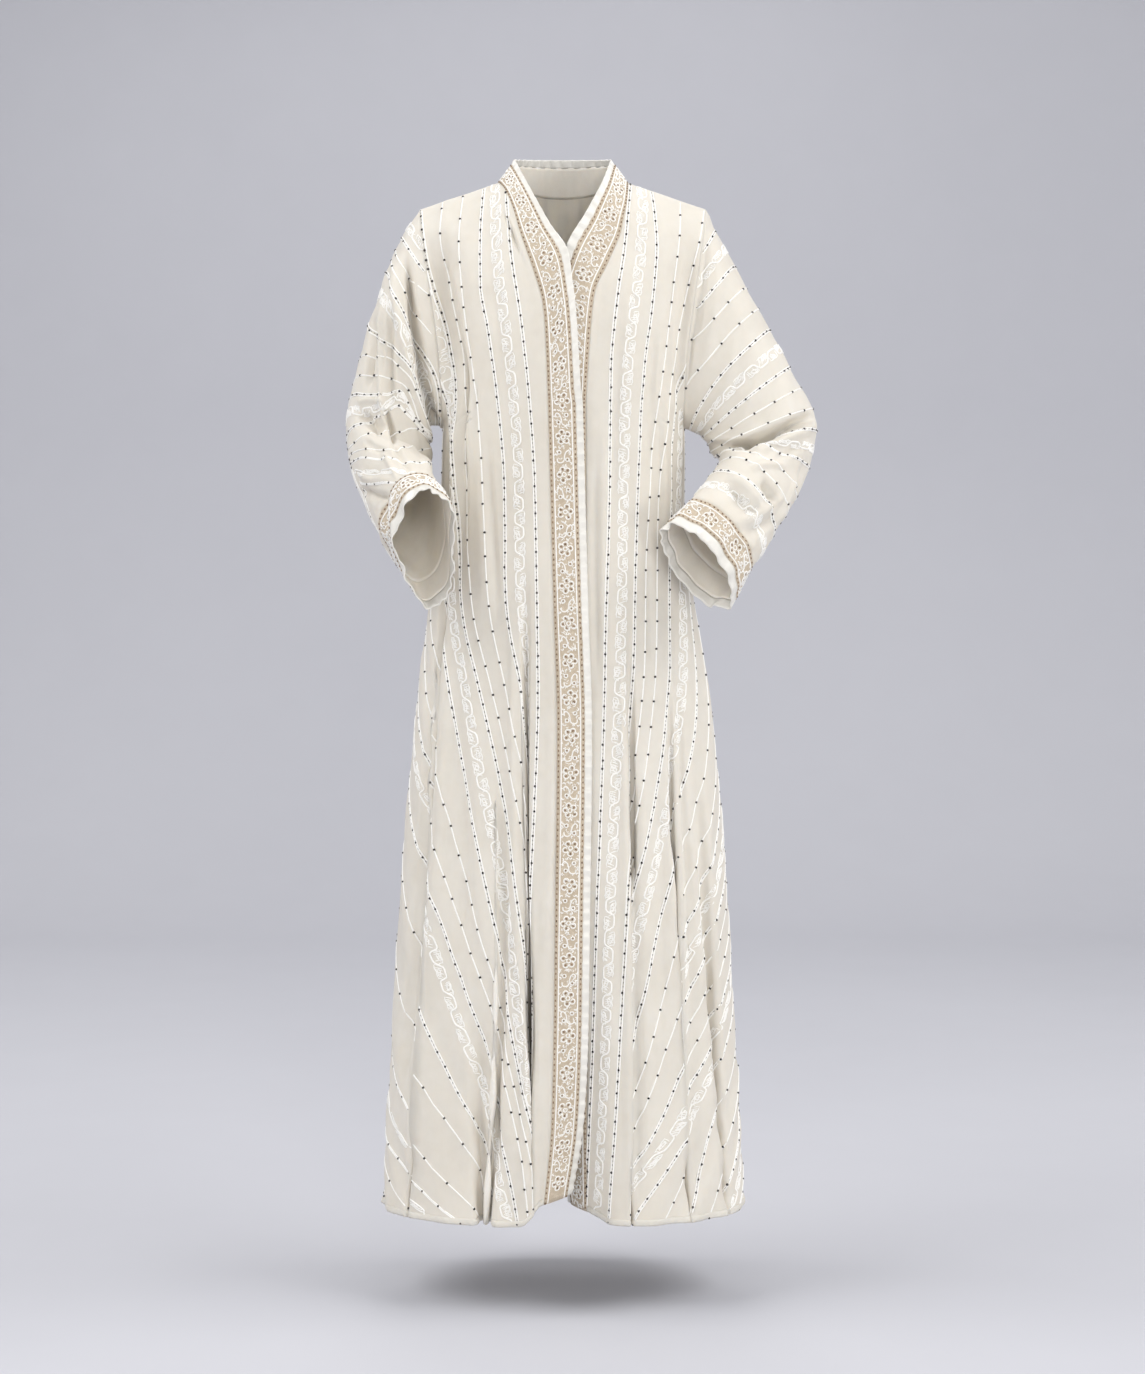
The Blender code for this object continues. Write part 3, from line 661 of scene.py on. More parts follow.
def back_cloth():
    """The back, from the right armhole and side round to the left, up to the back neckline."""
    first, last = NECK_COLUMNS
    counts = COLUMNS["back"]
    count = sum(counts) * FINER
    neck = NECK_HALF / (2 * SHOULDER_HALF)
    top = np.interp(np.arange(count + 1), (0, first, last, count),
                    (0.0, 0.5 - neck, 0.5 + neck, 1.0))
    top[first:last + 1] = 0.5 - neck * np.cos(np.linspace(0.0, math.pi, last - first + 1))

    def ends(drop):
        return -half_width(drop, -1), half_width(drop, 1)

    def stand_in(drop):
        return lambda along: np.zeros(len(along))

    places, across = [], []
    for drop in ROWS:
        row, tape, flat_x = panel_row(drop, 1, ends, FOLDS["back"], counts, stand_in, top)
        lowered = NAPE_DROP * (1.0 - np.minimum(np.abs(flat_x) / NECK_HALF, 1.0) ** 2)
        if drop < FOLD_TOP / 2:
            settle = float(1.0 - smooth_step(drop / (FOLD_TOP / 2)))
            for i in np.nonzero(lowered > 1e-9)[0]:
                row[i] = on_section(drop + lowered[i] * settle, 1, flat_x[i])
        places.append(row)
        across.append(tape - np.interp(0.0, flat_x, tape))
    places = np.array(places)
    return Cloth(places, np.array(across), ROWS, places * (1.0, 1.0, 0.0) + (0.0, 0.05, 0.0))


cloths = {"front_right": front_cloth(-1), "front_left": front_cloth(1), "back": back_cloth()}
for name, cloth in cloths.items():
    print(name, cloth.places.shape, "hem", round(float(np.ptp(cloth.across[-1])), 2), "m wide flat")

# %% [markdown]
# ## Sleeves
#
# Each sleeve is a tube from the armhole to the cuff, bent as over an arm that rests at the waist.
# It is drawn as rings: a centre and three half axes at seven places, and smooth rings between.

# %% Sleeve sections
SLEEVES = {
    # mm: centre (x, y, z), then the half axes outward, to the front and to the back
    "right": rows_of("""
-201,0,-205  -19,0,121  0,-64,0  0,62,0
-218,0,-253  -35,0,81  0,-66,0  0,64,0
-230,0,-305  -47,0,44  0,-66,4  0,64,-6
-233,-6,-350  -55,0,28  0,-62,16  0,60,-30
-226,-45,-388  -50,-8,6  4,-46,40  0,56,-52
-203,-100,-432  -43,-12,0  5,-34,56  1,44,-68
-173,-168,-490  -36,-11,0  5,-30,73  6,36,-74
    """),
    "left": rows_of("""
197,0,-216  27,0,114  0,-64,0  0,62,0
222,0,-254  42,0,79  0,-67,0  0,65,0
247,0,-296  57,0,47  0,-67,0  0,65,0
269,-10,-345  68,6,21  4,-62,4  0,60,0
260,-38,-386  53,8,-24  12,-53,14  -10,52,-14
237,-76,-427  39,6,-41  20,-45,21  -20,44,-22
171,-135,-514  37,14,-51  26,-36,9  -26,36,-9
    """),
}
RING_STEPS = 14  # fine rings for each ring of the table


def armhole_loop(front, back, sign):
    """The armhole's edge: down the front from the shoulder tip, and up the back."""
    column = 0 if sign < 0 else -1
    return np.concatenate((front.places[:UNDERARM_ROW + 1, -1],
                           back.places[UNDERARM_ROW - 1:0:-1, column]))


def sleeve_rings(loop, sections):
    """Fine rings along a sleeve, from its armhole to the end of its cuff."""
    down = travelled(loop[:UNDERARM_ROW + 1])
    up = travelled(np.vstack((loop[UNDERARM_ROW:], loop[:1])))
    uneven = np.concatenate((math.pi * down / down[-1], math.pi + math.pi * up[1:-1] / up[-1]))
    even = np.linspace(0.0, 2 * math.pi, len(loop), endpoint=False)
    rings = [loop]
    for i, section_mm in enumerate(sections):
        centre, outward, front, back = np.reshape(section_mm, (4, 3)) / 1000
        angle = uneven + (even - uneven) * (i + 1) / len(sections)
        rise = np.sin(angle)[:, None]
        side = np.where(rise > 0, front, -back)
        rings.append(centre + np.cos(angle)[:, None] * outward + rise * side)
    rings = np.array(rings)
    before = np.vstack((2 * rings[:1] - rings[1:2], rings[:-1]))
    after = np.vstack((rings[1:], 2 * rings[-1:] - rings[-2:-1]))
    slopes = (after - before) / 2
    fine = []
    for i in range(len(rings) - 1):
        for s in np.linspace(0.0, 1.0, RING_STEPS, endpoint=False):
            fine.append((1 + 2 * s) * (1 - s) ** 2 * rings[i] + s * s * (3 - 2 * s) * rings[i + 1]
                        + s * (1 - s) ** 2 * slopes[i] - s * s * (1 - s) * slopes[i + 1])
    fine.append(rings[-1])
    return np.array(fine)


rings = {side: sleeve_rings(armhole_loop(cloths["front_" + side], cloths["back"], sign),
                            SLEEVES[side]) for side, sign in (("right", -1), ("left", 1))}
for side, loops in rings.items():
    print(side, "sleeve", loops.shape, "length", round(travelled(loops.mean(1))[-1], 3), "m")

# %% [markdown]
# ## Creases
#
# Worn cloth is never as smooth as its pattern. A cloth simulation would give folds of its own
# choosing. Pressing each crease in as a soft ridge or trough along a drawn line puts them where
# this robe has them.

# %% Crease press


def along_line(points, line):
    """Distance of points from a polyline, and the share of its length at the nearest spot."""
    line = np.asarray(line, float)
    steps = np.diff(line, axis=0)
    lengths = np.linalg.norm(steps, axis=1)
    start = np.concatenate(([0.0], np.cumsum(lengths)))
    best = np.full(len(points), 1e9)
    share = np.zeros(len(points))
    for a, step, length, before in zip(line[:-1], steps, lengths, start):
        rel = points - a
        at = np.clip(rel @ step / length ** 2, 0.0, 1.0)
        away = np.linalg.norm(rel - at[:, None] * step, axis=1)
        nearer = away < best
        best = np.where(nearer, away, best)
        share = np.where(nearer, (before + at * length) / start[-1], share)
    return best, share


LINE_STEPS = 8  # points between two stops of a drawn line


def smooth_line(line, steps=LINE_STEPS):
    """A Catmull-Rom curve through the stops of a drawn line."""
    line = np.asarray(line, float)
    if len(line) < 3:
        return line
    padded = np.vstack((2 * line[0] - line[1], line, 2 * line[-1] - line[-2]))
    out = []
    for a, b, c, d in zip(padded, padded[1:], padded[2:], padded[3:]):
        for s in np.linspace(0.0, 1.0, steps, endpoint=False):
            out.append(0.5 * (2 * b + (c - a) * s + (2 * a - 5 * b + 4 * c - d) * s ** 2
                              + (3 * b - a - 3 * c + d) * s ** 3))
    return np.vstack((out, line[-1:]))


# how far from a seam the cloth is held, in metres
SEWN = {"back": {"first": 0.016, "last": 0.016, "top": 0.020}}
for side in ("right", "left"):
    SEWN["front_" + side] = {"first": 0.012, "last": 0.009, "top": 0.020}
    SEWN["sleeve_" + side] = {"first": 0.012}


def press(cloth, creases, facing, held):
    """Press creases, drawn in the front view in mm, into the side of a cloth that faces them."""
    flat = cloth.places.reshape(-1, 3)
    normals = cloth.normals.reshape(-1, 3)
    shown = smooth_step((normals[:, 1] * facing + 0.25) / 0.5)
    push = np.zeros(len(flat))
    for depth, width, fade_in, fade_out, *stops in creases:
        line = smooth_line(np.reshape(stops, (-1, 2)))
        away, share = along_line(flat[:, [0, 2]] * 1000.0, line)
        ends = smooth_step(np.minimum(share / fade_in, (1.0 - share) / fade_out))
        push += depth / 1000 * ends * np.cos(np.clip(away / width, 0.0, 1.0) * math.pi / 2) ** 2
    push *= shown * cloth.loose(held).ravel()
    cloth.places = (flat + normals * push[:, None]).reshape(cloth.places.shape)
    cloth.find_normals()
    return float(np.abs(push).max())


WAVES = 9  # how many waves make up the ripple of a cloth


def ripple(cloth, held, amount, across_wave, along_wave, seed, towards_end):
    """Very shallow waves all over a cloth, as cloth that has been worn and folded keeps."""
    draw = np.random.default_rng(seed)
    u = cloth.across
    v = np.broadcast_to(cloth.along[:, None], u.shape)
    push = np.zeros(u.shape)
    for _ in range(WAVES):
        a = 2 * math.pi / (across_wave * draw.uniform(0.7, 1.5))
        b = 2 * math.pi / (along_wave * draw.uniform(0.7, 1.6)) * draw.choice((-1.0, 1.0))
        push += np.sin(a * u + b * v + draw.uniform(0, 6.3))
    grown = 1.0 + towards_end * smooth_step((v - 0.75 * v.max()) / (0.25 * v.max()))
    cloth.move(push * grown * cloth.loose(held) * amount / math.sqrt(WAVES))


print("crease press ready")

# %% [markdown]
# ## Trim rails
#
# The band is one long ribbon: up the right front, round the neck and down the left front. It is
# sewn to the cloth along its outer side and stands free along its inner one, where the satin is.
# Two rails carry it, so it bends with the neckline without stretching its pattern.

# %% Trim ribbon
TRIM_WIDTH = BAND_WIDTH + EDGE_WIDTH


def front_rails(sign):
    """Seam side and free side of the trim along one front, a point for each row."""
    cloth = cloths["front_right" if sign < 0 else "front_left"]
    free_side = []
    for drop, seam in zip(ROWS, cloth.places[:, 0]):
        if drop < NECKLINE[sign][-1][0]:
            free_side.append([table(NECKLINE[sign], column, drop) for column in (2, 3, 4)])
            continue
        x_seam, _, turned = edge_place(sign, drop)
        x_free = x_seam - sign * TRIM_WIDTH
        chord = on_section(drop, -1, x_free) - on_section(drop, -1, x_free + sign * TRIM_WIDTH)
        angle = math.atan2(chord[1], -sign * chord[0]) + math.radians(turned)
        lift = EDGE_LIFT * edge_rise(sign, drop) / TRIM_WIDTH
        step = np.array((-sign * math.cos(angle), math.sin(angle), lift)) * TRIM_WIDTH
        free_side.append(seam + step)
    bulge = TRIM_BULGE * smooth_step(ROWS / UNDERARM)
    return cloth.places[:, 0].copy(), np.array(free_side), bulge


def neck_rails():
    """The same rails round the back of the neck, from right to left."""
    first, last = NECK_COLUMNS
    seam_side = cloths["back"].places[0, first:last + 1].copy()
    angles = np.linspace(math.pi, 0.0, last - first + 1)
    side_x, side_z = NECKLINE[-1][0][2], NECKLINE[-1][0][4]
    nape_y, nape_z = COLLAR_BACK
    free_side = np.column_stack((-side_x * np.cos(angles), nape_y * np.sin(angles),
                                 side_z + (nape_z - side_z) * np.sin(angles)))
    return seam_side, free_side, np.zeros(len(seam_side))


right_rails, middle_rails, left_rails = front_rails(-1), neck_rails(), front_rails(1)
seam_rail, free_rail, crown = (
    np.concatenate((right_rails[k][::-1], middle_rails[k][1:-1], left_rails[k])) for k in range(3))
ribbon_tape = travelled((seam_rail + free_rail) / 2)
across_rail = unit(free_rail - seam_rail)
up_from_cloth = unit(np.cross(unit(np.gradient(seam_rail, axis=0)), across_rail))
if np.sum(up_from_cloth * (seam_rail * (1, 1, 0))) < 0:
    up_from_cloth = -up_from_cloth


def ribbon(first_mm, last_mm, columns):
    """A strip of the trim ribbon between two distances from its seam, as a cloth grid."""
    shares = np.linspace(first_mm, last_mm, columns) / 1000.0 / TRIM_WIDTH
    places = np.stack([seam_rail + (free_rail - seam_rail) * s
                       + up_from_cloth * (crown * 4 * s * (1 - s))[:, None]
                       for s in shares], axis=1)
    across = np.tile(shares * TRIM_WIDTH, (len(places), 1))
    return Cloth(places, across, ribbon_tape, np.repeat(up_from_cloth[:, None], columns, axis=1))


print("trim ribbon", round(ribbon_tape[-1], 2), "m long from hem to hem")

# %% [markdown]
# ## From grids to cloth
#
# Real crepe is about half a millimetre thick, and with the cords on it nearer one and a half. A
# Solidify modifier could add that, but here the outer and inner faces and the rims are written
# directly, so the folded hem and the open front show a true edge, and no modifier is left over.

# %% Cloth shells
CLOTH_THICK = 0.0013


def shell(name, cloth, material, thickness=CLOTH_THICK, closed=False, facing=None):
    """A closed thin wall on a cloth grid: outer face, inner face (the facing) and rims."""
    normals = cloth.normals
    if closed:
        ends = unit(normals[0] + normals[-1])
        normals = normals.copy()
        normals[0] = normals[-1] = ends
    outer = cloth.places
    inner = outer - normals * thickness
    if closed:
        outer, inner = outer[:-1], inner[:-1]
    rows, columns = outer.shape[:2]
    size = rows * columns
    middle = cloth.places.shape[0] // 2, columns // 2
    a, b, c = (cloth.places[middle], cloth.places[middle[0] + 1, middle[1]],
               cloth.places[middle[0], middle[1] + 1])
    flip = bool(np.dot(np.cross(b - a, c - a), cloth.normals[middle]) < 0)
    faces = []
    for i in range(rows if closed else rows - 1):
        k = (i + 1) % rows
        for j in range(columns - 1):
            quad = (i * columns + j, k * columns + j, k * columns + j + 1, i * columns + j + 1)
            faces += [quad, tuple(size + v for v in reversed(quad))]
    if closed:
        rims = [[i * columns for i in range(rows)] + [0],
                [(i % rows) * columns + columns - 1 for i in range(rows, -1, -1)]]
    else:
        rims = [list(range(columns - 1, -1, -1)),
                [(rows - 1) * columns + j for j in range(columns)],
                [i * columns for i in range(rows)],
                [i * columns + columns - 1 for i in range(rows - 1, -1, -1)]]
    walls = len(faces)
    for rim in rims:
        for p, q in zip(rim[:-1], rim[1:]):
            faces.append((p, size + p, size + q, q))
    if flip:
        faces = [tuple(reversed(face)) for face in faces]
    piece = new_piece(name, np.concatenate((outer.reshape(-1, 3), inner.reshape(-1, 3))), faces,
                      material)
    if facing:
        piece.data.materials.append(facing)
        for k in range(1, walls, 2):
            piece.data.polygons[k].material_index = 1
    return piece


print("a shell is", CLOTH_THICK * 1000, "mm thick")

# %% [markdown]
# ## Finishes
#
# All the cloth is ivory, so the finishes differ in grain and gloss rather than in colour. Effects
# that several of them need are made once as node groups: a grain of fine threads, a soft mottle as
# real dyed cloth has, and the twist of a cord. Each group only gives values, and the shader
# of each material decides what to do with them.

# %% Node group tools
FLOAT, VECTOR = "NodeSocketFloat", "NodeSocketVector"


def new_group(name, inputs, outputs):
    """An empty shader node group with float and vector sockets."""
    group = bpy.data.node_groups.new(name, "ShaderNodeTree")
    for label, value in inputs:
        socket = group.interface.new_socket(name=label, in_out="INPUT",
                                            socket_type=VECTOR if value is None else FLOAT)
        if value is not None:
            socket.default_value = value
    for label in outputs:
        group.interface.new_socket(name=label, in_out="OUTPUT", socket_type=FLOAT)
    given, gives = (group.nodes.new("NodeGroup" + end) for end in ("Input", "Output"))
    return group, given.outputs, gives.inputs


def add(tree, kind, label="", **settings):
    """A node with a label and its settings."""
    node = tree.nodes.new(kind)
    node.label = label
    for key, value in settings.items():
        setattr(node, key, value)
    return node


def give(tree, value, socket):
    """Set a socket to a plain number, or link another socket to it."""
    if isinstance(value, (int, float)):
        socket.default_value = value
    elif value is not None:
        tree.links.new(value, socket)


def maths(tree, operation, a, b=None, clamp=False):
    """A Math node; a and b are sockets or plain numbers."""
    node = add(tree, "ShaderNodeMath", operation=operation, use_clamp=clamp)
    give(tree, a, node.inputs[0])
    give(tree, b, node.inputs[1])
    return node.outputs[0]


def mixed(tree, a, a_share, b, b_share):
    """The sum of two sockets, each times its share."""
    return maths(tree, "ADD", *(maths(tree, "MULTIPLY", *pair) for pair in ((a, a_share),
                                                                            (b, b_share))))


def noise(tree, vector, scale, detail=2.0, roughness=0.5):
    """Soft noise at a number of grains for each metre."""
    node = add(tree, "ShaderNodeTexNoise")
    node.inputs["Detail"].default_value = detail
    node.inputs["Roughness"].default_value = roughness
    tree.links.new(vector, node.inputs["Vector"])
    give(tree, scale, node.inputs["Scale"])
    return node.outputs["Fac"]


def drawn_out(tree, vector, upright, label):
    """The same vector with its grain drawn out upright."""
    node = add(tree, "ShaderNodeVectorMath", label, operation="MULTIPLY")
    node.inputs[1].default_value = (1.0, 1.0, upright)
    tree.links.new(vector, node.inputs[0])
    return node.outputs[0]


print("node tools ready")

# %% [markdown]
# ### Fine weave
#
# Crepe is woven from overtwisted yarns, so besides its threads it has a fine irregular crinkle.
# Two noises, one of them drawn out, stand for warp and weft, and a wider one for the crinkle. An
# image of a weave would need the cloth unwrapped; noise in object space doesn't.

# %% Group: fine threads of a weave
weave, given, gives = new_group(
    "fine_weave", [("Vector", None), ("Threads per Metre", 1400.0), ("Crinkle per Metre", 90.0),
                   ("Crinkle", 0.5)], ["Height", "Tone"])
warp = noise(weave, drawn_out(weave, given["Vector"], 0.22, "warp runs upright"),
             given["Threads per Metre"], 1.0)
weft = noise(weave, given["Vector"], given["Threads per Metre"], 2.0, 0.6)
threads = mixed(weave, warp, 0.6, weft, 0.4)
crinkle = noise(weave, drawn_out(weave, given["Vector"], 0.45, "crinkles run upright"),
                given["Crinkle per Metre"], 2.0, 0.55)
weave.links.new(mixed(weave, threads, 0.12, crinkle, given["Crinkle"]), gives["Height"])
weave.links.new(mixed(weave, threads, 0.5, crinkle, 0.5), gives["Tone"])
print("fine_weave:", len(weave.nodes), "nodes")

# %% [markdown]
# ### Soft mottle
#
# Dyed or bleached cloth is never one even colour. Wide patches with smaller ones inside them are
# enough, and an amount says how far they spread from the middle tone.

# %% Group: soft mottle
mottle, given, gives = new_group("soft_mottle", [("Vector", None), ("Patches per Metre", 14.0),
                                                 ("Amount", 0.6)], ["Mask"])
wide = noise(mottle, given["Vector"], given["Patches per Metre"], 3.0, 0.6)
close = noise(mottle, given["Vector"], maths(mottle, "MULTIPLY", given["Patches per Metre"], 6.5),
              2.0, 0.5)
centred = maths(mottle, "SUBTRACT", mixed(mottle, wide, 0.7, close, 0.3), 0.5)
spread = maths(mottle, "MULTIPLY", centred, maths(mottle, "MULTIPLY", given["Amount"], 3.0))
mottle.links.new(maths(mottle, "ADD", spread, 0.5, clamp=True), gives["Mask"])
print("soft_mottle:", len(mottle.nodes), "nodes")

# %% [markdown]
# ### Twist of a cord
#
# Embroidery cord is two or three plies laid in a spiral, which reads as slanted bands with a little
# fuzz. Diagonal wave bands give that on cords of any direction, with no unwrapping.

# %% Group: twist of a cord
twist, given, gives = new_group("cord_twist", [("Vector", None), ("Turns per Metre", 600.0)],
                                ["Height", "Tone"])
rolled = add(twist, "ShaderNodeTexWave", "plies", wave_type="BANDS", bands_direction="DIAGONAL")
rolled.inputs["Distortion"].default_value = 1.5
rolled.inputs["Detail"].default_value = 1.0
twist.links.new(given["Vector"], rolled.inputs["Vector"])
twist.links.new(maths(twist, "DIVIDE", given["Turns per Metre"], 3.1), rolled.inputs["Scale"])
fuzz = noise(twist, given["Vector"], maths(twist, "MULTIPLY", given["Turns per Metre"], 2.0), 1.0)
twist.links.new(mixed(twist, rolled.outputs["Fac"], 0.7, fuzz, 0.3), gives["Height"])
twist.links.new(fuzz, gives["Tone"])
print("cord_twist:", len(twist.nodes), "nodes")

# %% Finish tools


def finish(name, roughness, **uniform):
    """A material with its shader, an object-space vector, and uniform values on its own sockets."""
    material = bpy.data.materials.new(name)
    material.use_nodes = True
    tree = material.node_tree
    shader = tree.nodes["Principled BSDF"]
    shader.inputs["Roughness"].default_value = roughness
    for key, value in uniform.items():
        shader.inputs[key.replace("_", " ")].default_value = value
    place = add(tree, "ShaderNodeTexCoord")
    return material, tree, shader, place.outputs["Object"]


def group_node(tree, group, vector, **values):
    """One of the groups above, placed in a material with its own values."""
    node = add(tree, "ShaderNodeGroup", node_tree=group)
    tree.links.new(vector, node.inputs["Vector"])
    for key, value in values.items():
        node.inputs[key.replace("_", " ")].default_value = value
    return node.outputs


def dye(tree, shader, mask, stops):
    """Base colour between stops of (place, colour)."""
    ramp = add(tree, "ShaderNodeValToRGB")
    while len(ramp.color_ramp.elements) < len(stops):
        ramp.color_ramp.elements.new(0.5)
    for element, (place, colour) in zip(ramp.color_ramp.elements, stops):
        element.position = place
        element.color = (*colour, 1.0)
    tree.links.new(mask, ramp.inputs["Fac"])
    tree.links.new(ramp.outputs["Color"], shader.inputs["Base Color"])


def roughen(tree, shader, mask, spread, least):
    """Roughness that varies over the surface, from least upwards."""
    tree.links.new(maths(tree, "ADD", maths(tree, "MULTIPLY", mask, spread), least),
                   shader.inputs["Roughness"])


def bump(tree, shader, height, strength, distance):
    """Relief from a height."""
    node = add(tree, "ShaderNodeBump")
    node.inputs["Strength"].default_value = strength
    node.inputs["Distance"].default_value = distance
    tree.links.new(height, node.inputs["Height"])
    tree.links.new(node.outputs["Normal"], shader.inputs["Normal"])


print("finish tools ready")

# %% [markdown]
# ### Crepe
#
# The robe's crepe is matt and soft, and a little light passes through it, which lifts the tone
# inside its folds. So the shader has weak sheen and a shallow scatter of three millimetres, rather
# than a lighter colour, which would flatten the folds.

# %% Robe crepe
SCATTER = {"Subsurface_Weight": 0.35, "Subsurface_Radius": (0.0036, 0.0030, 0.0023),
           "Subsurface_Scale": 1.0}
cloth_paint, tree, shader, where = finish("robe_crepe", 0.62, Sheen_Weight=0.12,
                                          Sheen_Roughness=0.5, **SCATTER)
grain = group_node(tree, weave, where, Threads_per_Metre=1500.0, Crinkle_per_Metre=75.0,
                   Crinkle=0.8)
patches = group_node(tree, mottle, where, Patches_per_Metre=11.0, Amount=0.55)
dye(tree, shader, mixed(tree, patches["Mask"], 0.7, grain["Tone"], 0.3),
    ((0.25, (0.654, 0.609, 0.535)), (0.75, (0.722, 0.679, 0.608))))
roughen(tree, shader, grain["Tone"], 0.14, 0.54)
bump(tree, shader, grain["Height"], 0.45, 0.0012)
print("robe_crepe:", len(tree.nodes), "nodes")

# %% [markdown]
# ### Wrong side, painted lighter
#
# Inside the sleeves and the neck the cloth shows its other side, without cords and duller. Its
# material on the inner faces is painted light: a colour much paler than the crepe's lifts the shade
# inside the openings, which one finish for both would leave as dark holes.

# %% Wrong side of the crepe, painted lighter
lightened_facing_paint, tree, shader, where = finish("crepe_wrong_side_lightened", 0.7, **SCATTER)
grain = group_node(tree, weave, where, Threads_per_Metre=1100.0, Crinkle_per_Metre=95.0,
                   Crinkle=0.5)
# painted light: colours paler than the crepe's, to lift the shade inside the openings
dye(tree, shader, grain["Tone"], ((0.3, (0.790, 0.742, 0.668)), (0.7, (0.850, 0.806, 0.734))))
roughen(tree, shader, grain["Tone"], 0.15, 0.62)
bump(tree, shader, grain["Height"], 0.4, 0.0008)
print("crepe_wrong_side_lightened:", len(tree.nodes), "nodes")

# %% [markdown]
# ### White thread
#
# The cords and the embroidery are viscose, whiter and smoother than the crepe. Their twist gives
# both the relief and the small changes of gloss that make them glitter along a fold.

# %% White thread
thread_paint, tree, shader, where = finish("white_thread", 0.5, Sheen_Weight=0.2)
plies = group_node(tree, twist, where, Turns_per_Metre=620.0)
dye(tree, shader, plies["Tone"], ((0.3, (0.880, 0.863, 0.825)), (0.7, (0.940, 0.928, 0.900))))
bump(tree, shader, plies["Height"], 0.5, 0.0004)
roughen(tree, shader, plies["Tone"], 0.2, 0.36)
print("white_thread:", len(tree.nodes), "nodes")

# %% [markdown]
# ### Band ground
#
# The band is worked on beige net with close filling stitches. Its meshes are about a millimetre
# wide, far too many to model, and the edges of Voronoi cells are just such a net. Mottle breaks it
# up as the filling does.

# %% Band ground
MESHES_PER_METRE = 720.0
trim_paint, tree, shader, where = finish("band_ground", 0.75, Sheen_Weight=0.1)
net = add(tree, "ShaderNodeTexVoronoi", feature="DISTANCE_TO_EDGE")
net.inputs["Scale"].default_value = MESHES_PER_METRE
tree.links.new(where, net.inputs["Vector"])
patches = group_node(tree, mottle, where, Patches_per_Metre=160.0, Amount=0.8)
open_mesh = maths(tree, "MULTIPLY", net.outputs["Distance"], 2.6, clamp=True)
ground = mixed(tree, open_mesh, 0.55, patches["Mask"], 0.45)
dye(tree, shader, ground, ((0.1, (0.690, 0.605, 0.490)), (0.5, (0.470, 0.380, 0.275)),
                           (0.9, (0.570, 0.480, 0.365))))
bump(tree, shader, maths(tree, "SUBTRACT", 1.0, open_mesh), 0.5, 0.0005)
roughen(tree, shader, ground, 0.2, 0.62)
print("band_ground:", len(tree.nodes), "nodes")

# %% [markdown]
# ### Satin
#
# Satin floats its threads over the surface, so it is the one cloth here that shines. Low roughness
# with a thin soft coat gives the broad highlight on each pucker without making it look wet.

# %% Satin
satin_paint, tree, shader, where = finish("satin", 0.34, Sheen_Weight=0.1, Coat_Weight=0.15,
                                          Coat_Roughness=0.3)
grain = group_node(tree, weave, where, Threads_per_Metre=2400.0, Crinkle_per_Metre=160.0,
                   Crinkle=0.7)
patches = group_node(tree, mottle, where, Patches_per_Metre=24.0, Amount=0.5)
dye(tree, shader, patches["Mask"], ((0.2, (0.700, 0.680, 0.630)), (0.8, (0.790, 0.772, 0.725))))
roughen(tree, shader, grain["Tone"], 0.2, 0.24)
bump(tree, shader, grain["Height"], 0.35, 0.0009)
print("satin:", len(tree.nodes), "nodes")

# %% [markdown]
# ### Beads and sequins
#
# The band's beads are bronze coloured glass and the sequins are nearly black. Both are small and
# many, so a patchy tone, finer than one bead, makes each a little different from the next at no
# cost in geometry.

# %% Beads and sequins
BEADS = {
    # metallic, roughness, patches per metre, two colours, spread of the roughness and its least
    "bronze_bead": (0.25, 0.35, 260.0, (0.130, 0.080, 0.045), (0.320, 0.218, 0.135), 0.25, 0.22),
    "dark_sequin": (0.15, 0.3, 90.0, (0.012, 0.011, 0.011), (0.060, 0.052, 0.048), 0.3, 0.16),
}


def bead_finish(name):
    """The finish of one kind of bead."""
    metallic, roughness, per_metre, dark, light, spread, least = BEADS[name]
    material, tree, shader, where = finish(name, roughness, Metallic=metallic)
    patches = group_node(tree, mottle, where, Patches_per_Metre=per_metre, Amount=1.0)
    dye(tree, shader, patches["Mask"], ((0.2, dark), (0.8, light)))
    roughen(tree, shader, patches["Mask"], spread, least)
    return material


bead_paint, sequin_paint = bead_finish("bronze_bead"), bead_finish("dark_sequin")
print("bead finishes:", list(BEADS))

# %% [markdown]
# ### Studio paper
#
# A paper roll is matt and cool in tone. Very wide, faint patches keep the wall from looking like a
# computer's flat grey.

# %% Studio paper
roll_paint, tree, shader, where = finish("studio_paper", 0.9)
patches = group_node(tree, mottle, where, Patches_per_Metre=1.2, Amount=0.35)
dye(tree, shader, patches["Mask"], ((0.2, (0.556, 0.560, 0.602)), (0.8, (0.580, 0.584, 0.626))))
roll.data.materials.append(roll_paint)
print("studio_paper:", len(tree.nodes), "nodes")

# %% [markdown]
# ## Sleeve cloth
#
# A sleeve is cut with the stripes running round the arm, so its cloth is turned: a row runs down
# the arm. The outer side of the bend is longer than the inner one, and the underarm seam takes up
# the difference, so the tape runs at two speeds until the bend.

# %% Sleeve tapes
SLEEVE_TAPE = {
    # side: (tape at the underarm, ring after which the tape runs evenly round the arm)
    "right": (0.135, 30),
    "left": (0.158, 66),
}
AROUND = 0.42  # the tape round the arm, from the top line back to itself


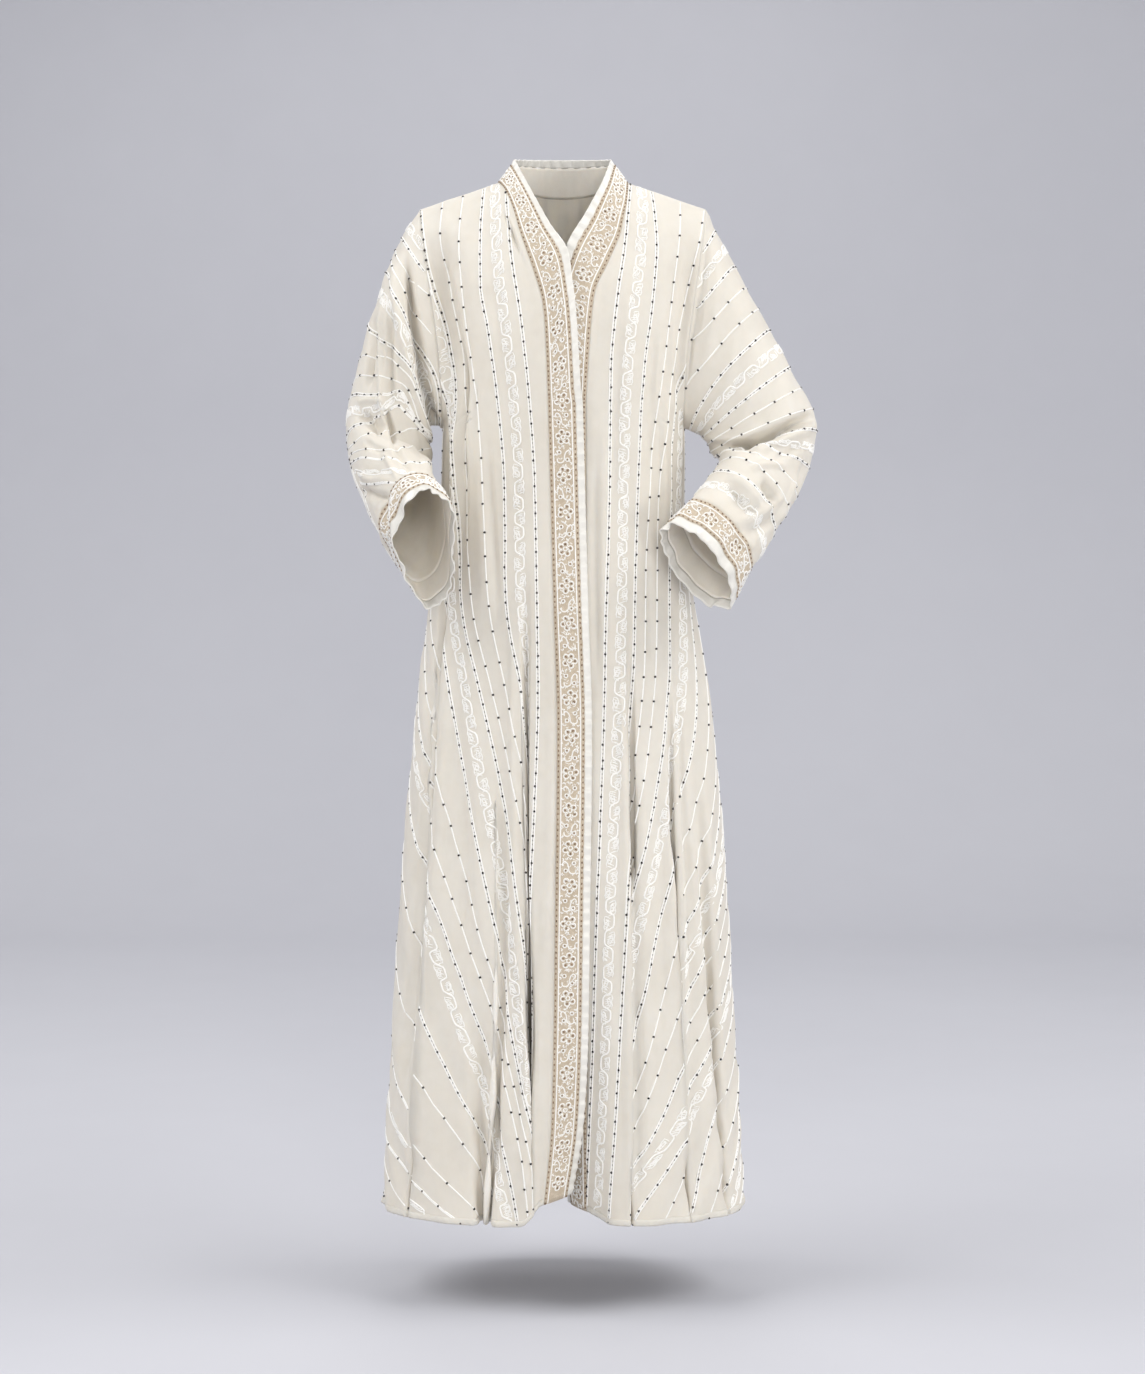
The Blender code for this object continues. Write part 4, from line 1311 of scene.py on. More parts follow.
def sleeve_cloth(side):
    """A sleeve as a cloth whose rows run along the arm, one for each place round it."""
    closed = np.concatenate((rings[side], rings[side][:, :1]), axis=1)
    fine = np.zeros((len(closed), 2 * closed.shape[1] - 1, 3))
    fine[:, ::2] = closed
    fine[:, 1::2] = (closed[:, 1:] + closed[:, :-1]) / 2
    outer = travelled(fine[:, 0])
    inner = travelled(fine[:, fine.shape[1] // 2])
    middle = travelled(fine.mean(axis=1))
    start, bend = SLEEVE_TAPE[side]
    above_bend = np.arange(len(fine)) <= bend
    tape_out = np.where(above_bend, outer, outer[bend] + middle - middle[bend])
    slow = (outer[bend] - start) / inner[bend]
    tape_in = np.where(above_bend, start + slow * inner, tape_out)
    angle = np.linspace(0.0, 2 * math.pi, fine.shape[1])
    share = ((1 + np.cos(angle)) / 2)[:, None]
    across = share * tape_out + (1 - share) * tape_in
    places = fine.transpose(1, 0, 2)
    outward = places - fine.mean(axis=1)[None]
    return Cloth(places, across, angle / (2 * math.pi) * AROUND, outward)


for side in ("right", "left"):
    cloths["sleeve_" + side] = sleeve_cloth(side)
    tape = cloths["sleeve_" + side].across
    print(side, "sleeve tape", np.round([tape[0, -1], tape[len(tape) // 2, -1]], 3).tolist())

# %% [markdown]
# ## Cuffs
#
# The cuff is gathered, so the end of the sleeve waves: a few wide lobes and some narrow ones, not
# the same on both sides. The ribbon and the satin of a cuff follow the same rings as the sleeve.
# All three are cut from one sleeve cloth, each between two distances from the cuff's end.

# %% Flutter of the cuffs
CUFF_WAVES = {
    # lobes round the cuff, phase, share
    "right": ((3, 0.4, 0.7), (5, 2.0, 0.5), (8, 0.9, 0.3)),
    "left": ((2, 2.2, 0.5), (7, 0.5, 0.4), (11, 1.3, 0.4)),
}
FLUTTER_REACH = 0.09  # the waves fade out this far above the cuff's end
FLUTTER_RISE = 0.0038


def flutter(cloth, waves):
    """Let the end of a sleeve wave."""
    angle = cloth.along[:, None] / AROUND * 2 * math.pi
    middle = travelled(cloth.places.mean(axis=0))[None]
    grown = smooth_step((middle - middle[0, -1] + FLUTTER_REACH) / FLUTTER_REACH)
    push = sum(share * np.sin(lobes * angle + phase) for lobes, phase, share in waves)
    cloth.move(push * grown * FLUTTER_RISE)


for side, waves in CUFF_WAVES.items():
    flutter(cloths["sleeve_" + side], waves)
    print(side, "cuff waves in", [lobes for lobes, _, _ in waves], "lobes")

# %% Cut a sleeve to length
CUFF = CUFF_BAND + CUFF_EDGE
CUT_CLEAR = 0.003  # no ring is kept nearer than this to a cut


def cut_sleeve(side, from_end, to_end, rows=None, widen=0.0):
    """The part of a sleeve between two distances back from the end of its cuff."""
    cloth = cloths["sleeve_" + side]
    middle = travelled(cloth.places.mean(axis=0))
    first = 0.0 if from_end is None else middle[-1] - from_end
    last = middle[-1] - to_end
    at = middle[(middle > first + CUT_CLEAR) & (middle < last - CUT_CLEAR)]
    at = np.concatenate(([first], at, [last])) if rows is None else np.linspace(first, last, rows)
    places = np.stack([[np.interp(at, middle, line[:, k]) for k in range(3)]
                       for line in cloth.places])
    places = places.transpose(0, 2, 1)
    across = np.array([np.interp(at, middle, line) for line in cloth.across])
    made = Cloth(places, across, cloth.along, places - places.mean(axis=0)[None])
    made.places = made.places + made.normals * widen
    return made


print("sleeve cloth ends", round(CUFF * 1000), "mm before the cuff's end")

# %% [markdown]
# ## Where the creases lie
#
# Each crease is one line of a table: how deep it is (minus for a trough), how wide, how its ends
# fade, and where it runs. The fronts hang in long ridges and pull from the shoulder, the sleeves
# crumple where the arm bends, and behind the creases are few and soft.

# %% Creases of the fronts
CREASES = {
    # depth, half width, shares of the two ends that fade, stops (x, z) seen from the front, in mm
    "front_right": rows_of("""
-17.6 40 .25,.3 -163,-62 -160,-119 -152,-183 -142,-260 -132,-350
-8.1 6 .3,.3 -149,-209 -138,-248 -131,-299 -128,-363
-5.4 12 .25,.25 -165,-83 -160,-138 -150,-203 -140,-280
4.7 11 .3,.3 -145,-57 -145,-119 -133,-196 -123,-299 -120,-389
-8.1 9 .25,.3 -136,-194 -131,-299 -131,-440 -136,-556
4.1 14 .4,.4 -111,-273 -105,-428 -99,-608
-6.1 3.6 .3,.4 -78,-46 -66,-78 -51,-116
-5.4 3.4 .3,.4 -64,-60 -50,-93 -41,-127
4.1 5 .3,.4 -70,-52 -57,-84 -45,-122
-2.7 11 .3,.4 -95,-100 -81,-209 -65,-338 -55,-479
-5.4 6 .3,.3 -150,-299 -152,-415 -149,-543
5.4 7 .3,.3 -141,-286 -142,-402 -140,-543
4.1 7 .3,.4 -113,-228 -120,-325 -122,-440
-3.4 8 .3,.4 -99,-325 -91,-453 -81,-608
8.1 14 .3,.12 -149,-556 -156,-762 -167,-942 -176,-1070 -190,-1199 -200,-1308
-10.8 10 .3,.2 -161,-569 -172,-762 -185,-942 -197,-1083 -209,-1225
6.8 8 .3,.06 -65,-556 -63,-762 -59,-942 -52,-1070 -47,-1199 -45,-1347
-6.8 6 .3,.2 -54,-620 -51,-762 -47,-942 -42,-1070 -38,-1225
-4.1 13 .3,.3 -84,-633 -79,-878 -72,-1019 -66,-1173
5.4 9 .3,.3 -18,-428 -12,-608 -11,-749 -16,-878 -24,-1019 -29,-1148
4.1 18 .3,.3 -122,-608 -109,-813 -104,-1006 -122,-1199
-3.4 14 .3,.3 -141,-685 -124,-878 -134,-1070 -150,-1225
3.4 10 .4,.3 -170,-1045 -163,-1160 -177,-1276
    """),
    "front_left": rows_of("""
-8.1 34 .3,.3 164,-70 156,-158 148,-248 143,-338
-4.1 9 .3,.3 177,-75 168,-158 159,-248 155,-338
3.4 9 .3,.3 162,-80 150,-170 146,-286
-3.4 8 .3,.3 123,-183 115,-286 111,-402
3.4 8 .3,.3 135,-260 132,-363 135,-492
-2.7 10 .3,.3 85,-106 74,-209 69,-338 65,-479
-4.1 7 .3,.3 146,-299 147,-402 151,-505
-3.4 7 .3,.3 42,-338 43,-505 45,-685
3.4 8 .3,.3 52,-299 53,-505 53,-685
-6.8 6 .3,.08 88,-633 90,-878 94,-1045 97,-1199 99,-1334
5.4 9 .3,.08 75,-556 79,-762 81,-942 85,-1135 88,-1334
3.4 10 .3,.3 102,-685 106,-942 110,-1199
-5.4 8 .3,.08 144,-595 153,-762 161,-916 166,-1070 173,-1334
5.4 8 .3,.2 137,-569 146,-762 153,-942 157,-1135 161,-1315
-4.1 12 .3,.3 119,-710 128,-890 130,-1070 128,-1225
3.4 12 .3,.3 179,-710 191,-890 201,-1070 209,-1237
-2.7 8 .3,.3 107,-428 110,-530 115,-659
    """),
}
print("creases on the fronts:", [len(creases) for creases in CREASES.values()])

# %% Creases of the sleeves
CREASES |= {
    "sleeve_left": rows_of("""
-16 5 .2,.2 208,-355 242,-353 268,-342 297,-330 323,-319
-11.2 5 .3,.3 206,-407 223,-421 240,-444 254,-453
-9.6 5 .3,.3 253,-396 267,-420 272,-441
-9.6 5 .3,.3 179,-114 175,-164 166,-229 161,-281
-4.8 8 .2,.3 190,-67 183,-138 172,-229
3.5 12 .3,.3 208,-105 200,-177 182,-268
-3.5 14 .3,.3 242,-190 229,-262 208,-327
-3.2 13 .3,.3 287,-249 271,-294 247,-336
3.2 12 .3,.3 264,-223 247,-288 225,-334
7.2 9 .15,.2 179,-335 212,-343 238,-343 274,-330 310,-309
-22.4 10 .15,.15 216,-355 242,-351 268,-339 297,-327 321,-317 339,-313
8 9 .15,.2 242,-368 268,-357 297,-344 318,-334 336,-328
-4.8 7 .3,.3 271,-372 297,-362 318,-351
4.8 7 .3,.3 234,-389 264,-381 297,-383
9.6 9 .2,.3 208,-399 226,-406 241,-423 254,-444
-11.2 9 .3,.3 217,-421 233,-436 247,-450
8 9 .3,.3 216,-454 242,-450 266,-434 289,-420
-8 9 .3,.3 232,-467 254,-464 275,-450
-9.6 9 .3,.3 254,-402 268,-421 275,-438
-4.8 8 .3,.3 322,-362 306,-410 287,-451
4.8 7 .3,.3 211,-470 237,-485 260,-493
4.8 8 .3,.3 310,-386 292,-432 271,-464
    """),
    "sleeve_right": rows_of("""
-16.5 5 .2,.2 -209,-106 -201,-164 -193,-216 -183,-281 -170,-336
-9 4.5 .3,.3 -238,-153 -235,-203 -235,-281
-12 5 .3,.3 -234,-300 -226,-326 -215,-355
11.2 9 .3,.12 -223,-80 -221,-127 -215,-179 -205,-247 -193,-301 -179,-360 -168,-407
-19.5 9 .2,.15 -206,-92 -200,-151 -192,-203 -183,-258 -171,-321 -159,-379
10.5 7 .25,.2 -239,-148 -236,-216 -236,-294 -232,-327 -222,-349
-9 8 .25,.3 -226,-164 -225,-229 -223,-308
-7.5 8 .25,.3 -249,-177 -252,-242 -257,-288
-3.8 6 .3,.3 -248,-190 -252,-242 -255,-288
6 7 .2,.3 -273,-297 -252,-294 -228,-300
-12 9 .2,.3 -270,-310 -252,-322 -232,-342
-10.5 9 .2,.3 -264,-411 -239,-424 -215,-425
5.2 8 .2,.3 -265,-391 -242,-402 -213,-399
-5.2 7 .3,.3 -223,-347 -205,-376 -187,-399
4.5 6 .3,.3 -234,-362 -218,-386 -208,-407
-3.8 7 .3,.3 -259,-347 -242,-360 -223,-366
3.8 8 .3,.3 -202,-294 -196,-334 -187,-366
4.5 6 .2,.3 -228,-425 -231,-458 -226,-497
-4.5 5 .2,.3 -221,-423 -222,-458 -217,-504
3.8 5 .2,.3 -211,-417 -213,-451 -209,-497
    """),
}
print("creases on the sleeves:", [len(CREASES["sleeve_" + side]) for side in ("right", "left")])

# %% Creases behind
CREASES_BEHIND = {
    "back": rows_of("""
-3 12 .3,.3 -120,-60 -112,-170 -95,-300
3 11 .3,.3 -90,-80 -86,-200 -70,-340
-2.5 12 .3,.3 -35,-120 -30,-260 -40,-420
2.5 12 .3,.3 20,-100 18,-250 30,-420
-3 12 .3,.3 80,-70 74,-190 66,-330
3 11 .3,.3 118,-60 108,-180 100,-310
-4 9 .3,.3 150,-140 140,-240 120,-330
-4 9 .3,.3 -152,-130 -142,-230 -124,-330
4 10 .3,.1 -30,-520 -26,-800 -20,-1080 -16,-1370
4 10 .3,.1 45,-560 55,-820 60,-1100 64,-1370
-4 10 .3,.2 0,-620 4,-860 6,-1120
4 11 .3,.1 -75,-540 -86,-820 -94,-1080 -100,-1370
-3.5 10 .3,.3 -100,-600 -112,-820 -128,-1060
4 11 .3,.1 98,-600 115,-850 128,-1100 140,-1360
-3 12 .3,.3 130,-520 146,-760 160,-980
3.5 12 .3,.2 -150,-560 -168,-800 -184,-1040 -196,-1250
    """),
    "sleeve_right": rows_of("""
-3.5 9 .3,.3 -190,-110 -204,-190 -206,-270
3.5 9 .3,.3 -212,-100 -226,-190 -232,-290
-3 9 .3,.3 -238,-170 -252,-250 -256,-330
-5 8 .3,.3 -272,-330 -240,-352 -200,-350
4 8 .3,.3 -270,-360 -236,-380 -202,-378
3 8 .3,.3 -256,-400 -222,-425 -180,-424
    """),
    "sleeve_left": rows_of("""
-3.5 9 .3,.3 196,-120 206,-200 204,-270
3.5 9 .3,.3 222,-120 240,-210 244,-290
-3 9 .3,.3 252,-190 270,-260 278,-320
-5 8 .3,.3 318,-335 280,-350 236,-342
4 8 .3,.3 318,-362 282,-384 240,-376
3 8 .3,.3 296,-410 262,-436 222,-440
    """),
}
print("creases behind:", [len(creases) for creases in CREASES_BEHIND.values()])

# %% Press the creases
RIPPLES = {
    # height, wave across, wave along, seed, how much it grows towards the hem
    "front_right": (0.0011, 0.060, 0.45, 0, 1.4),
    "front_left": (0.0011, 0.060, 0.45, 1, 1.4),
    "back": (0.0011, 0.060, 0.45, 2, 1.4),
    "sleeve_right": (0.0010, 0.070, 0.085, 20, 0.0),
    "sleeve_left": (0.0010, 0.070, 0.085, 21, 0.0),
}
for name, wave in RIPPLES.items():
    ripple(cloths[name], SEWN[name], *wave)
for facing, drawn in ((-1, CREASES), (1, CREASES_BEHIND)):
    for name, creases in drawn.items():
        deepest = press(cloths[name], creases, facing, SEWN[name])
        print(name, "front" if facing < 0 else "behind", len(creases), "creases, deepest move",
              round(deepest * 1000, 1), "mm")

# %% [markdown]
# ## Threads and beads
#
# Couched cord is a round cord laid on the cloth and held by tiny stitches, so it shows as a half
# round ridge. A curve with a bevel would be round all over and heavy. Here each cord is swept as
# four points per step, three faces wide, and all cords of a kind end up in one mesh. A dome of a
# few faces is enough for beads this small.

# %% Stitch maker
ROUND = ((-0.5, -0.15), (-0.28, 0.85), (0.28, 0.85), (0.5, -0.15))  # shares of width and height
RIDGE = ((-0.5, -0.15), (0.0, 1.0), (0.5, -0.15))  # for the thinnest threads
CORD_END = 0.45  # a cord thins to this share where it dives into the cloth
SHORTEST_CORD = 3  # points
BEAD_CORNERS = 6
SUNK = 0.15  # how deep a bead sits in the cloth, as a share of its height
BEAD_TURN = (0.72, 0.75)  # where a bead turns over: share of its radius, of its height
BEAD_STEP = 0.0015  # how far to look along the cloth for a bead's own axis


class Stitches:
    """Many small sewn parts of one kind that end up in one mesh."""

    def __init__(self):
        self.points = []
        self.faces = []
        self.count = 0

    def add(self, points, faces):
        """One more part, with faces that count from its own first point."""
        self.points.append(points)
        self.faces.extend(tuple(v + self.count for v in face) for face in faces)
        self.count += len(points)

    def cord(self, places, normals, width, height, profile):
        """A half round cord along laid points."""
        run = unit(np.gradient(places, axis=0))
        side = unit(np.cross(run, normals))
        taper = np.ones(len(places))
        taper[0] = taper[-1] = CORD_END
        grid = np.stack([places + side * (a * width * taper)[:, None]
                         + normals * (b * height * taper)[:, None] for a, b in profile], axis=1)
        n = len(profile)
        faces = [(i * n + k, i * n + k + 1, (i + 1) * n + k + 1, (i + 1) * n + k)
                 for i in range(len(places) - 1) for k in range(n - 1)]
        self.add(grid.reshape(-1, 3), faces)

    def sew(self, cloth, lines, width, height, profile=ROUND):
        """Cords along lines given as (across, along) on a cloth; parts off it are left out."""
        if not lines:
            return
        across = np.concatenate([line[0] for line in lines])
        along = np.concatenate([line[1] for line in lines])
        places, normals, on_it = cloth.lay(across, along)
        start = 0
        for line in lines:
            stop = start + len(line[0])
            shown = start + np.flatnonzero(on_it[start:stop])
            for run in np.split(shown, np.flatnonzero(np.diff(shown) > 1) + 1):
                if len(run) >= SHORTEST_CORD:
                    self.cord(places[run], normals[run], width, height, profile)
            start = stop

    def dots(self, cloth, spots, radius, height, oval=1.0, turn=0.0):
        """Beads as small domes. oval stretches them along turn, an angle on the cloth."""
        if not len(spots):
            return
        u, v = np.asarray(spots, float).T
        turn = np.broadcast_to(np.asarray(turn, float), (len(spots),))
        places, normals, on_it = cloth.lay(u, v)
        step_u, step_v = BEAD_STEP * np.sin(turn), BEAD_STEP * np.cos(turn)
        run = unit(cloth.lay(u + step_u, v + step_v)[0] - cloth.lay(u - step_u, v - step_v)[0])
        side = unit(np.cross(run, normals))
        corners = BEAD_CORNERS
        angles = np.linspace(0.0, 2 * math.pi, corners, endpoint=False)
        faces = []
        for k in range(corners):
            m = (k + 1) % corners
            faces += [(k, m, corners + m, corners + k), (corners + k, corners + m, 2 * corners)]
        for place, normal, r, s, shown in zip(places, normals, run, side, on_it):
            if not shown:
                continue
            ring = (np.cos(angles)[:, None] * r * oval + np.sin(angles)[:, None] * s) * radius
            self.add(np.concatenate((place + ring - normal * SUNK * height,
                                     place + ring * BEAD_TURN[0] + normal * BEAD_TURN[1] * height,
                                     (place + normal * height)[None])), faces)

    def piece(self, name, material, slot):
        """The finished mesh, with its finish. It rides with the robe; slot is not used."""
        made = new_piece(name, np.concatenate(self.points), self.faces, material)
        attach(made, "root")
        print(name, len(self.faces), "faces")


thin_cord, twin_cord, lace_cord, lace_leaf = Stitches(), Stitches(), Stitches(), Stitches()
dashes, sequins = Stitches(), Stitches()
random = np.random.default_rng(7)
print("six kinds of stitches to fill")

# %% [markdown]
# ## The stripe pattern
#
# The whole robe is cut from one embroidered cloth, so one repeat is enough: a lace ribbon, a
# sequined double cord on each side of it, and two plain cords before the next ribbon. The sleeves
# are cut across, and their cloth is eased round the arm, which spreads the repeat a little.

# %% Stripe repeat
REPEAT = 0.129
LACE_AT = 0.057  # the first lace ribbon, from the front edge
SEQUIN_OFF = 0.024  # the double cords stand this far from the lace
PLAIN_OFF = (0.051, 0.078)
LACE_MARGIN, TWIN_MARGIN, PLAIN_MARGIN = -0.004, 0.004, 0.010  # kept clear at a cut edge
SLEEVE_PATTERN = {"right": (0.018, 1.0), "left": (0.060, 1.17)}  # first lace, spread


def stripe_table(first, last, lace_at, spread):
    """Places of the three kinds of stripe between two readings of the tape."""
    repeat = REPEAT * spread
    low = math.floor((first - lace_at) / repeat) - 1
    high = math.ceil((last - lace_at) / repeat) + 1
    lace = [lace_at + k * repeat for k in range(low, high + 1)]
    twin = [at + side * SEQUIN_OFF * spread for at in lace for side in (-1, 1)]
    plain = [at + off * spread for at in lace for off in PLAIN_OFF]

    def kept(places, margin):
        return [at for at in places if first + margin < at < last - margin]

    return kept(lace, LACE_MARGIN), kept(twin, TWIN_MARGIN), kept(plain, PLAIN_MARGIN)


print("stripes between 0 and half a metre:",
      [len(kind) for kind in stripe_table(0.0, 0.5, LACE_AT, 1.0)])

# %% [markdown]
# ## The lace ribbon
#
# The ribbon is a cord that meanders from side to side, with a leaf, slanted stitches and a small
# scalloped rim in each of its bays. On the cloth no two bays are alike, because the stitches are
# worked by hand, so each one is drawn at its own slant and length.

# %% Lace
MEANDER = 0.040  # one wave of the lace cord
MEANDER_HALF = 0.0056
MEANDER_FLAT = 2.8  # how straight its sides are
DRIFT, DRIFT_RATE = 0.5, 41.0  # the waves are not quite even
LEAF_HALF = (0.0021, 0.0052)  # across and along
LEAF_OFF = 0.0028
STITCHES_FROM, STITCHES_TO, STITCH_GAP = -0.0086, 0.0088, 0.0026
RIM_OFF, RIM_HALF, SCALLOP = 0.0062, 0.0090, 0.0010


def lace_line(along):
    """How far the lace cord stands to the side: a wave with flat sides and quick crossings."""
    wave = np.sin(2 * math.pi * along / MEANDER + DRIFT * np.sin(along * DRIFT_RATE))
    return MEANDER_HALF * np.tanh(MEANDER_FLAT * wave) / math.tanh(MEANDER_FLAT)


def lace_leaves(first, last):
    """Slanted stitches, a pointed leaf and a scalloped rim in each bay of the lace cord."""
    lines = []
    turn = np.linspace(0.0, 2 * math.pi, 7)
    bays = np.arange(math.ceil(first / MEANDER * 2), math.floor(last / MEANDER * 2))
    for bay in bays:
        middle = (bay + 0.5) * MEANDER / 2
        side = -1.0 if bay % 2 == 0 else 1.0
        lean = random.uniform(0.15, 0.55) * random.choice((-1.0, 1.0))
        across = LEAF_HALF[0] * np.sin(turn)
        along = LEAF_HALF[1] * np.cos(turn) + random.uniform(-0.003, 0.003)
        lines.append((side * LEAF_OFF + across + lean * along, middle + along - lean * across))
        for step in np.arange(STITCHES_FROM, STITCHES_TO, STITCH_GAP):
            step += random.uniform(-0.0008, 0.0008)
            outer = side * random.uniform(0.0054, 0.0070)
            inner = side * random.uniform(-0.0030, 0.0012)
            drop = random.uniform(0.0012, 0.0038)
            lines.append((np.array((outer, (outer + inner) / 2, inner)),
                          middle + step + np.array((0.0, 0.35, 1.0)) * drop))
        rim = np.linspace(-RIM_HALF, RIM_HALF, 5)
        scallops = np.array((0.0, SCALLOP, 0.0, SCALLOP, 0.0))
        lines.append((side * (RIM_OFF + scallops), middle + rim))
    return lines


print("the lace cord swings", round(float(lace_line(np.arange(0, 0.2, 0.001)).max()) * 1000, 1),
      "mm to each side")

# %% [markdown]
# ## Ease
#
# Stripes are straight on flat cloth, but a worn robe eats some of its width in small gathers, more
# at the waist than at the chest. Instead of modelling every gather, a table says where on the
# tape each reading of the pattern really ends up at a few heights.

# %% Ease tables
EASE_STOPS = {
    "fronts": (0, 33, 57, 81, 108, 135, 162, 186, 210, 264, 315, 366, 444, 573),
    "sleeve_right": (0, 42, 69, 96, 123, 147, 171, 198, 225, 252, 276, 300, 327, 354, 381, 405,
                     489),
}
EASE = {
    # in mm: place along the stripe, then where each stop of the pattern lies on the tape
    "front_right": rows_of("""
0 35 55 68 83 111 137 168 185 200 232 274 329 426 596
80 23 49 65 86 115 142 160 172 185 226 280 343 446 624
145 14 42 61 86 113 141 154 162 172 222 285 354 462 646
200 8 34 55 78 109 137 149 158 166 220 290 363 476 664
300 -1 24 45 66 96 127 142 151 159 219 299 379 499 697
400 -7 20 41 60 89 123 136 144 153 225 308 393 522 728
550 -11 21 43 63 87 111 127 143 163 239 316 408 555 769
717 -10 25 51 71 91 108 124 146 170 249 312 414 589 805
1000 -1 35 60 82 104 124 144 162 182 225 275 395 627 844
1180 5 41 66 90 115 139 163 182 190 211 265 355 605 851
1263 8 44 69 94 121 146 169 185 193 212 254 325 548 848
1357 11 47 73 99 128 154 176 188 196 215 239 288 408 841
    """),
    "front_left": rows_of("""
0 20 45 60 72 111 143 170 192 214 260 304 350 423 545
40 17 43 62 78 112 140 166 188 210 257 303 351 424 548
100 12 41 62 83 112 135 161 182 204 254 302 352 427 551
170 8 35 58 82 111 134 154 175 197 250 301 353 430 556
250 5 31 53 76 107 128 146 166 189 245 300 354 434 560
300 3 32 52 74 101 121 141 161 185 243 299 355 436 563
390 2 31 50 70 89 105 130 154 178 239 298 355 439 568
550 -1 27 47 65 80 96 118 142 169 234 295 355 444 576
717 -4 22 40 61 77 93 113 135 163 231 292 353 445 584
960 -11 12 29 50 73 96 117 137 164 228 286 342 435 598
1200 -20 5 23 43 73 104 136 162 179 219 279 323 402 614
1357 -26 -1 19 43 75 111 147 172 187 206 225 309 463 628
    """),
    "sleeve_right": rows_of("""
0 16 46 63 78 98 130 167 199 225 246 266 285 295 305 314 323 412
35 12 47 70 82 97 124 170 192 213 233 255 281 302 316 332 370 473
70 8 45 70 86 101 122 162 182 201 225 250 270 300 339 377 414 532
105 6 42 63 93 108 121 145 157 181 205 224 239 279 359 403 443 589
140 4 44 70 101 119 130 139 148 158 167 176 193 244 329 393 450 646
175 3 49 79 108 129 141 149 159 168 178 186 195 204 256 350 433 701
210 3 55 88 116 140 151 160 169 179 188 196 205 214 224 304 405 757
    """),
}
EASE_MARKS = 100  # fine rows of the table


def easing(name):
    """A function from the pattern's reading and the place along it to the tape's reading."""
    if name not in EASE:
        return lambda at, along: np.full(len(along), at) if np.isscalar(at) else at
    stops = np.array(EASE_STOPS.get(name, EASE_STOPS["fronts"])) / 1000
    rows = np.array(EASE[name]) / 1000
    marks = np.linspace(rows[0, 0], rows[-1, 0], EASE_MARKS)
    grid = np.array([[table(rows, k + 1, mark) for k in range(len(stops))] for mark in marks])

    def eased(at, along):
        along = np.minimum(along, AROUND - along) if name.startswith("sleeve") else along
        columns = np.interp(at, stops, np.arange(len(stops)))
        lines = np.interp(along, marks, np.arange(len(marks)))
        columns, lines = np.broadcast_arrays(columns, lines)
        c = np.minimum(columns.astype(int), len(stops) - 2)
        r = np.minimum(lines.astype(int), len(marks) - 2)
        p, q = columns - c, lines - r
        return (np.maximum(at - stops[-1], 0.0)
                + (1 - q) * ((1 - p) * grid[r, c] + p * grid[r, c + 1])
                + q * ((1 - p) * grid[r + 1, c] + p * grid[r + 1, c + 1]))
    return eased


print("the second cord at the chest lies at", float(np.round(easing("front_right")(
    0.081, np.array([0.3])), 3)[0]), "m on the tape")

# %% [markdown]
# ## Sew the stripes
#
# Every cord is laid on the two tapes of its cloth, so a fold carries it along. The lace waves are
# a little out of step from one ribbon to the next. The double cords are crossed by short dark
# dashes and hold a row of sequins. The plain cords hold one only here and there.

# %% Sew the stripes
FINE_STEP, ROUGH_STEP = 0.0025, 0.0055  # between the points of a lace cord, a straight one
OUT_OF_STEP = 0.017  # from one lace ribbon to the next
LACE_CORD, LACE_STITCH = (0.0023, 0.0012), (0.0018, 0.0012)  # width and height
STRAIGHT_CORD, DASH_CORD = (0.0021, 0.0010), (0.0008, 0.0009)
TWIN_HALF = 0.0015  # a double cord is two cords this far off its middle
DASH_PITCH, DASH = 0.0052, np.array((0.0, 0.0011, 0.0022))
SEQUIN, SEQUIN_PITCH, SEQUIN_WANDER = (0.0020, 0.0016), 0.0165, (0.003, 0.0007)
LONE_SEQUIN, LONE_PITCH, LONE_WANDER = (0.0019, 0.0018), 0.033, (0.004, 0.0006)
UNDER_BAND = 0.012  # the cloth under the band is left plain
SIDE_SEAM_SHARE = 1.15  # the pattern may reach past the side seam by this share


def sew_sequins(cloth, eased, at, stops, wander, size):
    """A row of sequins along a stripe, each a little off its place along and across it."""
    stops = stops + random.uniform(-wander[0], wander[0], len(stops))
    offs = eased(at, stops) + random.uniform(-wander[1], wander[1], len(stops))
    sequins.dots(cloth, np.column_stack((offs, stops)), *size)


def embroider(name, cloth, first, last, top, bottom, lace_at, spread=1.0):
    """Sew the whole stripe pattern on one cloth."""
    eased = easing(name)
    lace, twin, plain = stripe_table(first, last, lace_at, spread)
    fine_along = np.arange(top, bottom, FINE_STEP)
    rough_along = np.arange(top, bottom, ROUGH_STEP)
    cords = [(eased(at, fine_along) + lace_line(fine_along + k * OUT_OF_STEP), fine_along)
             for k, at in enumerate(lace)]
    lace_cord.sew(cloth, cords, *LACE_CORD)
    leaves = []
    for k, at in enumerate(lace):
        ahead = k * OUT_OF_STEP
        leaves += [(eased(at, b - ahead) + a, b - ahead)
                   for a, b in lace_leaves(top + ahead, bottom + ahead)]
    lace_leaf.sew(cloth, leaves, *LACE_STITCH, RIDGE)
    thin_cord.sew(cloth, [(eased(at, rough_along), rough_along) for at in plain], *STRAIGHT_CORD)
    twins = [(eased(at, rough_along) + side, rough_along) for at in twin
             for side in (-TWIN_HALF, TWIN_HALF)]
    twin_cord.sew(cloth, twins, *STRAIGHT_CORD)
    for at in twin:
        stops = np.arange(top, bottom, DASH_PITCH) + random.uniform(0, 0.005)
        dashes.sew(cloth, [(eased(at, np.full(len(DASH), stop)), stop + DASH) for stop in stops],
                   *DASH_CORD, RIDGE)
        sew_sequins(cloth, eased, at, np.arange(top, bottom, SEQUIN_PITCH), SEQUIN_WANDER, SEQUIN)
    for at in plain:
        stops = np.arange(top, bottom, LONE_PITCH) + random.uniform(0, 0.03)
        sew_sequins(cloth, eased, at, stops, LONE_WANDER, LONE_SEQUIN)
    return len(lace), len(twin), len(plain)


